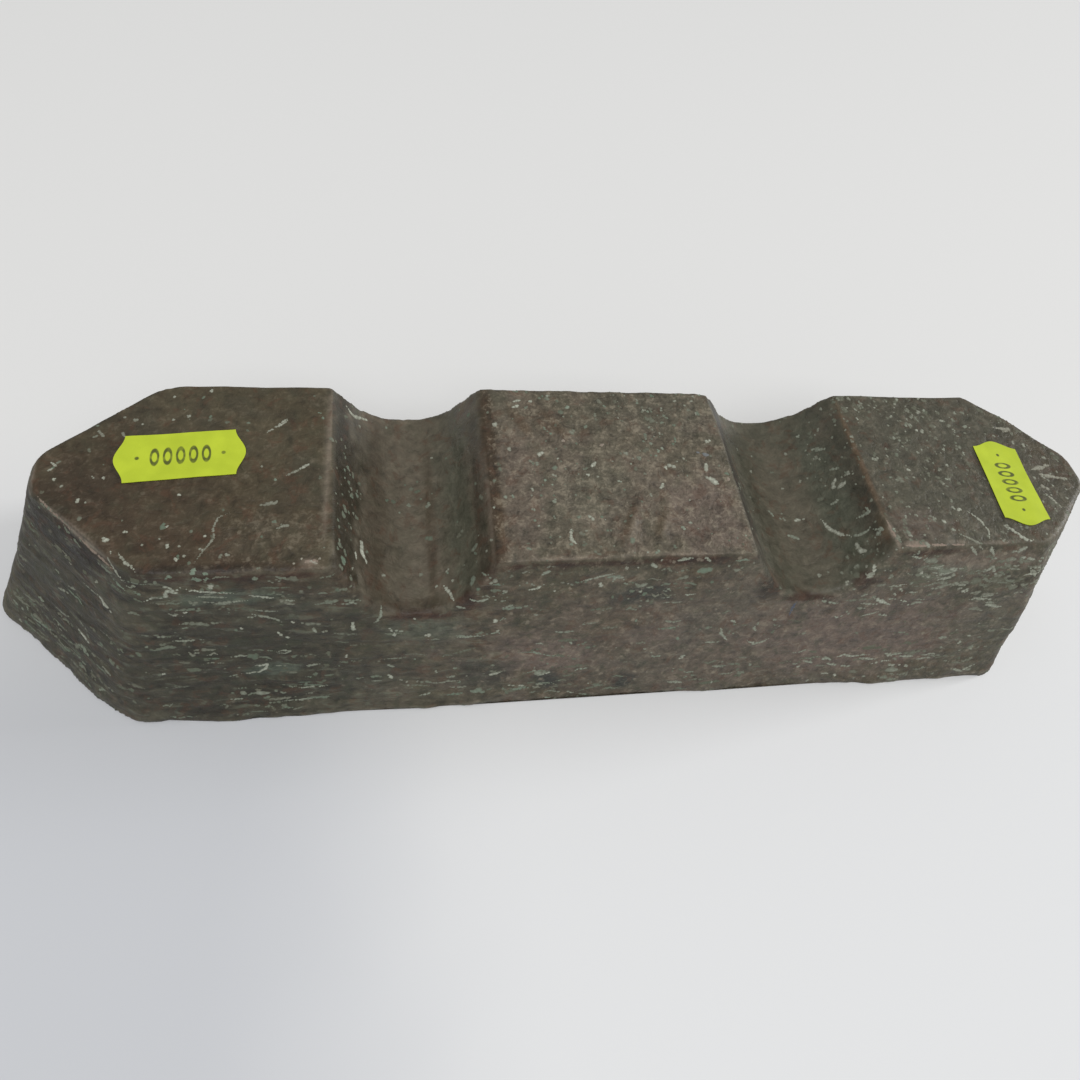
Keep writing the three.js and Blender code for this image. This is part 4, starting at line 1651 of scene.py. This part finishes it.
    def mound(self, spot: Vector, ahead: Vector, radius: float, stretch: float,
              look: tuple[float, ...]) -> None:
        """Adds one low mound with a ragged rim that dips under the casting's skin.

        Args:
            spot: A place near the casting.
            ahead: Which way it is stretched.
            radius: Its mean radius across.
            stretch: How much longer it is than wide.
            look: How pale, green, pink and blue it is.
        """
        hit, normal, _, _ = self.tree.find_nearest(spot)
        along = (ahead - normal * ahead.dot(normal)).normalized()
        across = normal.cross(along)
        first = len(self.points)
        shade = float(self.random.uniform(0.7, 1.1))
        self.add_point(hit + normal * (self.lift + min(radius * self.rise, self.rise_limit)),
                       (look[0] * shade, *look[1:]))
        rim_look = tuple(part * share for part, share in zip(look, self.rim_shares))
        for side in range(self.sides):
            angle = math.tau * (side + float(self.random.uniform(-0.3, 0.3))) / self.sides
            reach = radius * float(self.random.uniform(0.7, 1.3))
            at = hit + along * (math.cos(angle) * reach * stretch) + across * (math.sin(angle) * reach)
            near, up, _, _ = self.tree.find_nearest(at)
            self.add_point(near - up * self.dip * MM, rim_look)
            self.faces.append((first, first + 1 + side, first + 1 + (side + 1) % self.sides))

    def add_point(self, place: Vector, look: tuple[float, ...]) -> None:
        """Adds one vertex with its look, and keeps it above the ground."""
        self.points.append(Vector((place.x, place.y, max(place.z, 0.0))))
        self.looks.append(look)

    @staticmethod
    def resample(path: Sequence[Vector], step: float) -> list[Vector]:
        """Divides a path evenly.

        Args:
            path: The places on it.
            step: About how far apart the new places are.

        Returns:
            The new places.
        """
        found = [path[0]]
        for start, end in zip(path, path[1:]):
            parts = max(1, round((end - start).length / step))
            found.extend(start.lerp(end, (part + 1) / parts) for part in range(parts))
        return found


# ---------------------------------------------------------------------------------------
# The labels


@dataclass
class PriceLabel:
    """A paper label stuck on the upper face."""

    name: str
    node: str
    middle: tuple[float, float]
    turn: float
    start_height: float = 53.5 * MM
    cells: tuple[int, int] = (60, 28)
    straight: float = 22 * MM
    swell: float = 2 * MM
    width: float = 12 * MM
    thickness: float = 0.14 * MM
    lift: float = 0.2 * MM

    def build(self, casting: bpy.types.Object) -> bpy.types.Object:
        """Models the label on the casting, and gives it its finish.

        Args:
            casting: What the label is stuck to.

        Returns:
            The label.
        """
        deselect_all()
        along_cells, up_cells = self.cells
        bpy.ops.mesh.primitive_grid_add(x_subdivisions=along_cells, y_subdivisions=up_cells, size=1.0)
        piece = bpy.context.object
        piece.name = self.name
        bpy.ops.object.mode_set(mode="EDIT")
        mesh = bmesh.from_edit_mesh(piece.data)
        for vertex in mesh.verts:
            along, up = vertex.co.x * 2, vertex.co.y * 2
            half = self.straight / 2 + self.swell * (1 + math.cos(math.pi * up)) / 2
            vertex.co = (along * half, up * self.width / 2, 0.0)
        bmesh.update_edit_mesh(piece.data)
        bpy.ops.object.mode_set(mode="OBJECT")
        piece.rotation_euler.z = self.turn
        piece.location = (*self.middle, self.start_height)
        settle(piece)
        apply_modifier(piece, "SHRINKWRAP", target=casting, wrap_method="PROJECT", use_project_z=True,
                       use_negative_direction=True, use_positive_direction=False, offset=self.lift)
        apply_modifier(piece, "SMOOTH", factor=0.5, iterations=8, use_x=False, use_y=False)
        apply_modifier(piece, "SOLIDIFY", thickness=self.thickness, offset=1.0)
        piece.data.materials.clear()
        piece.data.materials.append(LabelPaper().material(self))
        make_active(piece)
        bpy.ops.object.shade_smooth_by_angle(angle=math.radians(40))
        return piece


# ---------------------------------------------------------------------------------------
# The studio


@dataclass(frozen=True)
class Lamp:
    """A square lamp aimed at the origin, in degrees and metres.

    Attributes:
        name: What it is.
        azimuth: Its direction seen from above, from +X towards +Y.
        rise: Its height above the ground.
        size: The length of its side.
        share: The part of the ground's light that it gives.
        distance: How far away it is.
    """

    name: str
    azimuth: float
    rise: float
    size: float
    share: float
    distance: float = 3.0

    def build(self) -> None:
        """Makes the lamp, with the power that gives its share."""
        azimuth, rise = math.radians(self.azimuth), math.radians(self.rise)
        place = self.distance * Vector((math.cos(azimuth) * math.cos(rise),
                                        math.sin(azimuth) * math.cos(rise), math.sin(rise)))
        deselect_all()
        bpy.ops.object.light_add(type="AREA", location=place)
        lamp = bpy.context.object
        lamp.name = self.name
        lamp.data.size = self.size
        lamp.data.energy = self.share * (math.pi * self.distance) ** 2 / math.sin(rise)
        lamp.rotation_euler = (-place).to_track_quat("-Z", "Y").to_euler()


@dataclass
class Studio:
    """The ground, the light and the camera."""

    camera_place: tuple[float, float, float] = (-58.1 * MM, -118.5 * MM, 212.4 * MM)
    yaw: float = 18.61
    pitch: float = 47.72
    roll: float = -14.73
    focal_pixels: float = 901.5
    centre_pixels: tuple[float, float] = (560.0, 400.0)
    frame_pixels: float = 1080.0
    sensor: float = 36.0
    sky: float = 0.315
    lamps: tuple[Lamp, ...] = (
        Lamp("low_side_lamp", 8.0, 20.0, 0.6, 0.15),
        Lamp("broad_front_lamp", -95.0, 64.0, 2.2, 0.61),
    )

    def build(self) -> None:
        """Makes the ground, the lamps and the camera."""
        self.ground()
        self.light()
        self.camera()

    def ground(self) -> None:
        """Makes the pale ground under the ingot."""
        deselect_all()
        bpy.ops.mesh.primitive_plane_add(size=6.0, location=(0, 0, 0))
        ground = bpy.context.object
        ground.name = "ground"
        ground.data.materials.append(StudioGround().material())

    def light(self) -> None:
        """Makes a soft even sky and the lamps."""
        world = bpy.data.worlds.new("soft_sky")
        world.use_nodes = True
        sky = world.node_tree.nodes["Background"]
        sky.inputs["Color"].default_value = (1.0, 1.0, 1.0, 1.0)
        sky.inputs["Strength"].default_value = self.sky
        bpy.context.scene.world = world
        for lamp in self.lamps:
            lamp.build()

    def camera(self) -> None:
        """Makes the camera at its place, aimed by yaw, pitch and roll."""
        deselect_all()
        bpy.ops.object.camera_add(location=self.camera_place)
        camera = bpy.context.object
        camera.name = "camera"
        turned = (Matrix.Rotation(-math.radians(self.yaw), 4, "Z")
                  @ Matrix.Rotation(math.radians(90 - self.pitch), 4, "X")
                  @ Matrix.Rotation(-math.radians(self.roll), 4, "Z"))
        camera.rotation_euler = turned.to_euler()
        lens = camera.data
        lens.sensor_width = self.sensor
        lens.lens = self.focal_pixels / self.frame_pixels * self.sensor
        lens.shift_x = 0.5 - self.centre_pixels[0] / self.frame_pixels
        lens.shift_y = self.centre_pixels[1] / self.frame_pixels - 0.5
        lens.clip_start = 0.01
        bpy.context.scene.camera = camera


def main() -> None:
    """Builds the casting, its crust, its labels and the studio, and ties each piece to the frame."""
    logging.basicConfig(level=logging.INFO, format="%(name)s: %(message)s")
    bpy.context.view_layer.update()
    bpy.context.scene.view_settings.view_transform = "Standard"
    Studio().build()
    maker = Casting()
    casting = maker.build()
    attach(casting, "root")
    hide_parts("ingot")
    LOG.info("casting: %d faces", len(casting.data.polygons))
    crust = Crust(casting, maker.marks).build()
    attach(crust, "root")
    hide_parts("ingot")
    LOG.info("crust: %d faces", len(crust.data.polygons))
    for label in (
        PriceLabel("label_left", "label_left_end", (-95.2 * MM, 4.1 * MM), math.radians(5.7)),
        PriceLabel("label_right", "label_right_end", (101.2 * MM, -4.5 * MM), math.radians(-94.6)),
    ):
        piece = label.build(casting)
        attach(piece, "root")
        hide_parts(label.node)
        LOG.info("%s: %d faces", label.name, len(piece.data.polygons))


if __name__ == "__main__":
    main()
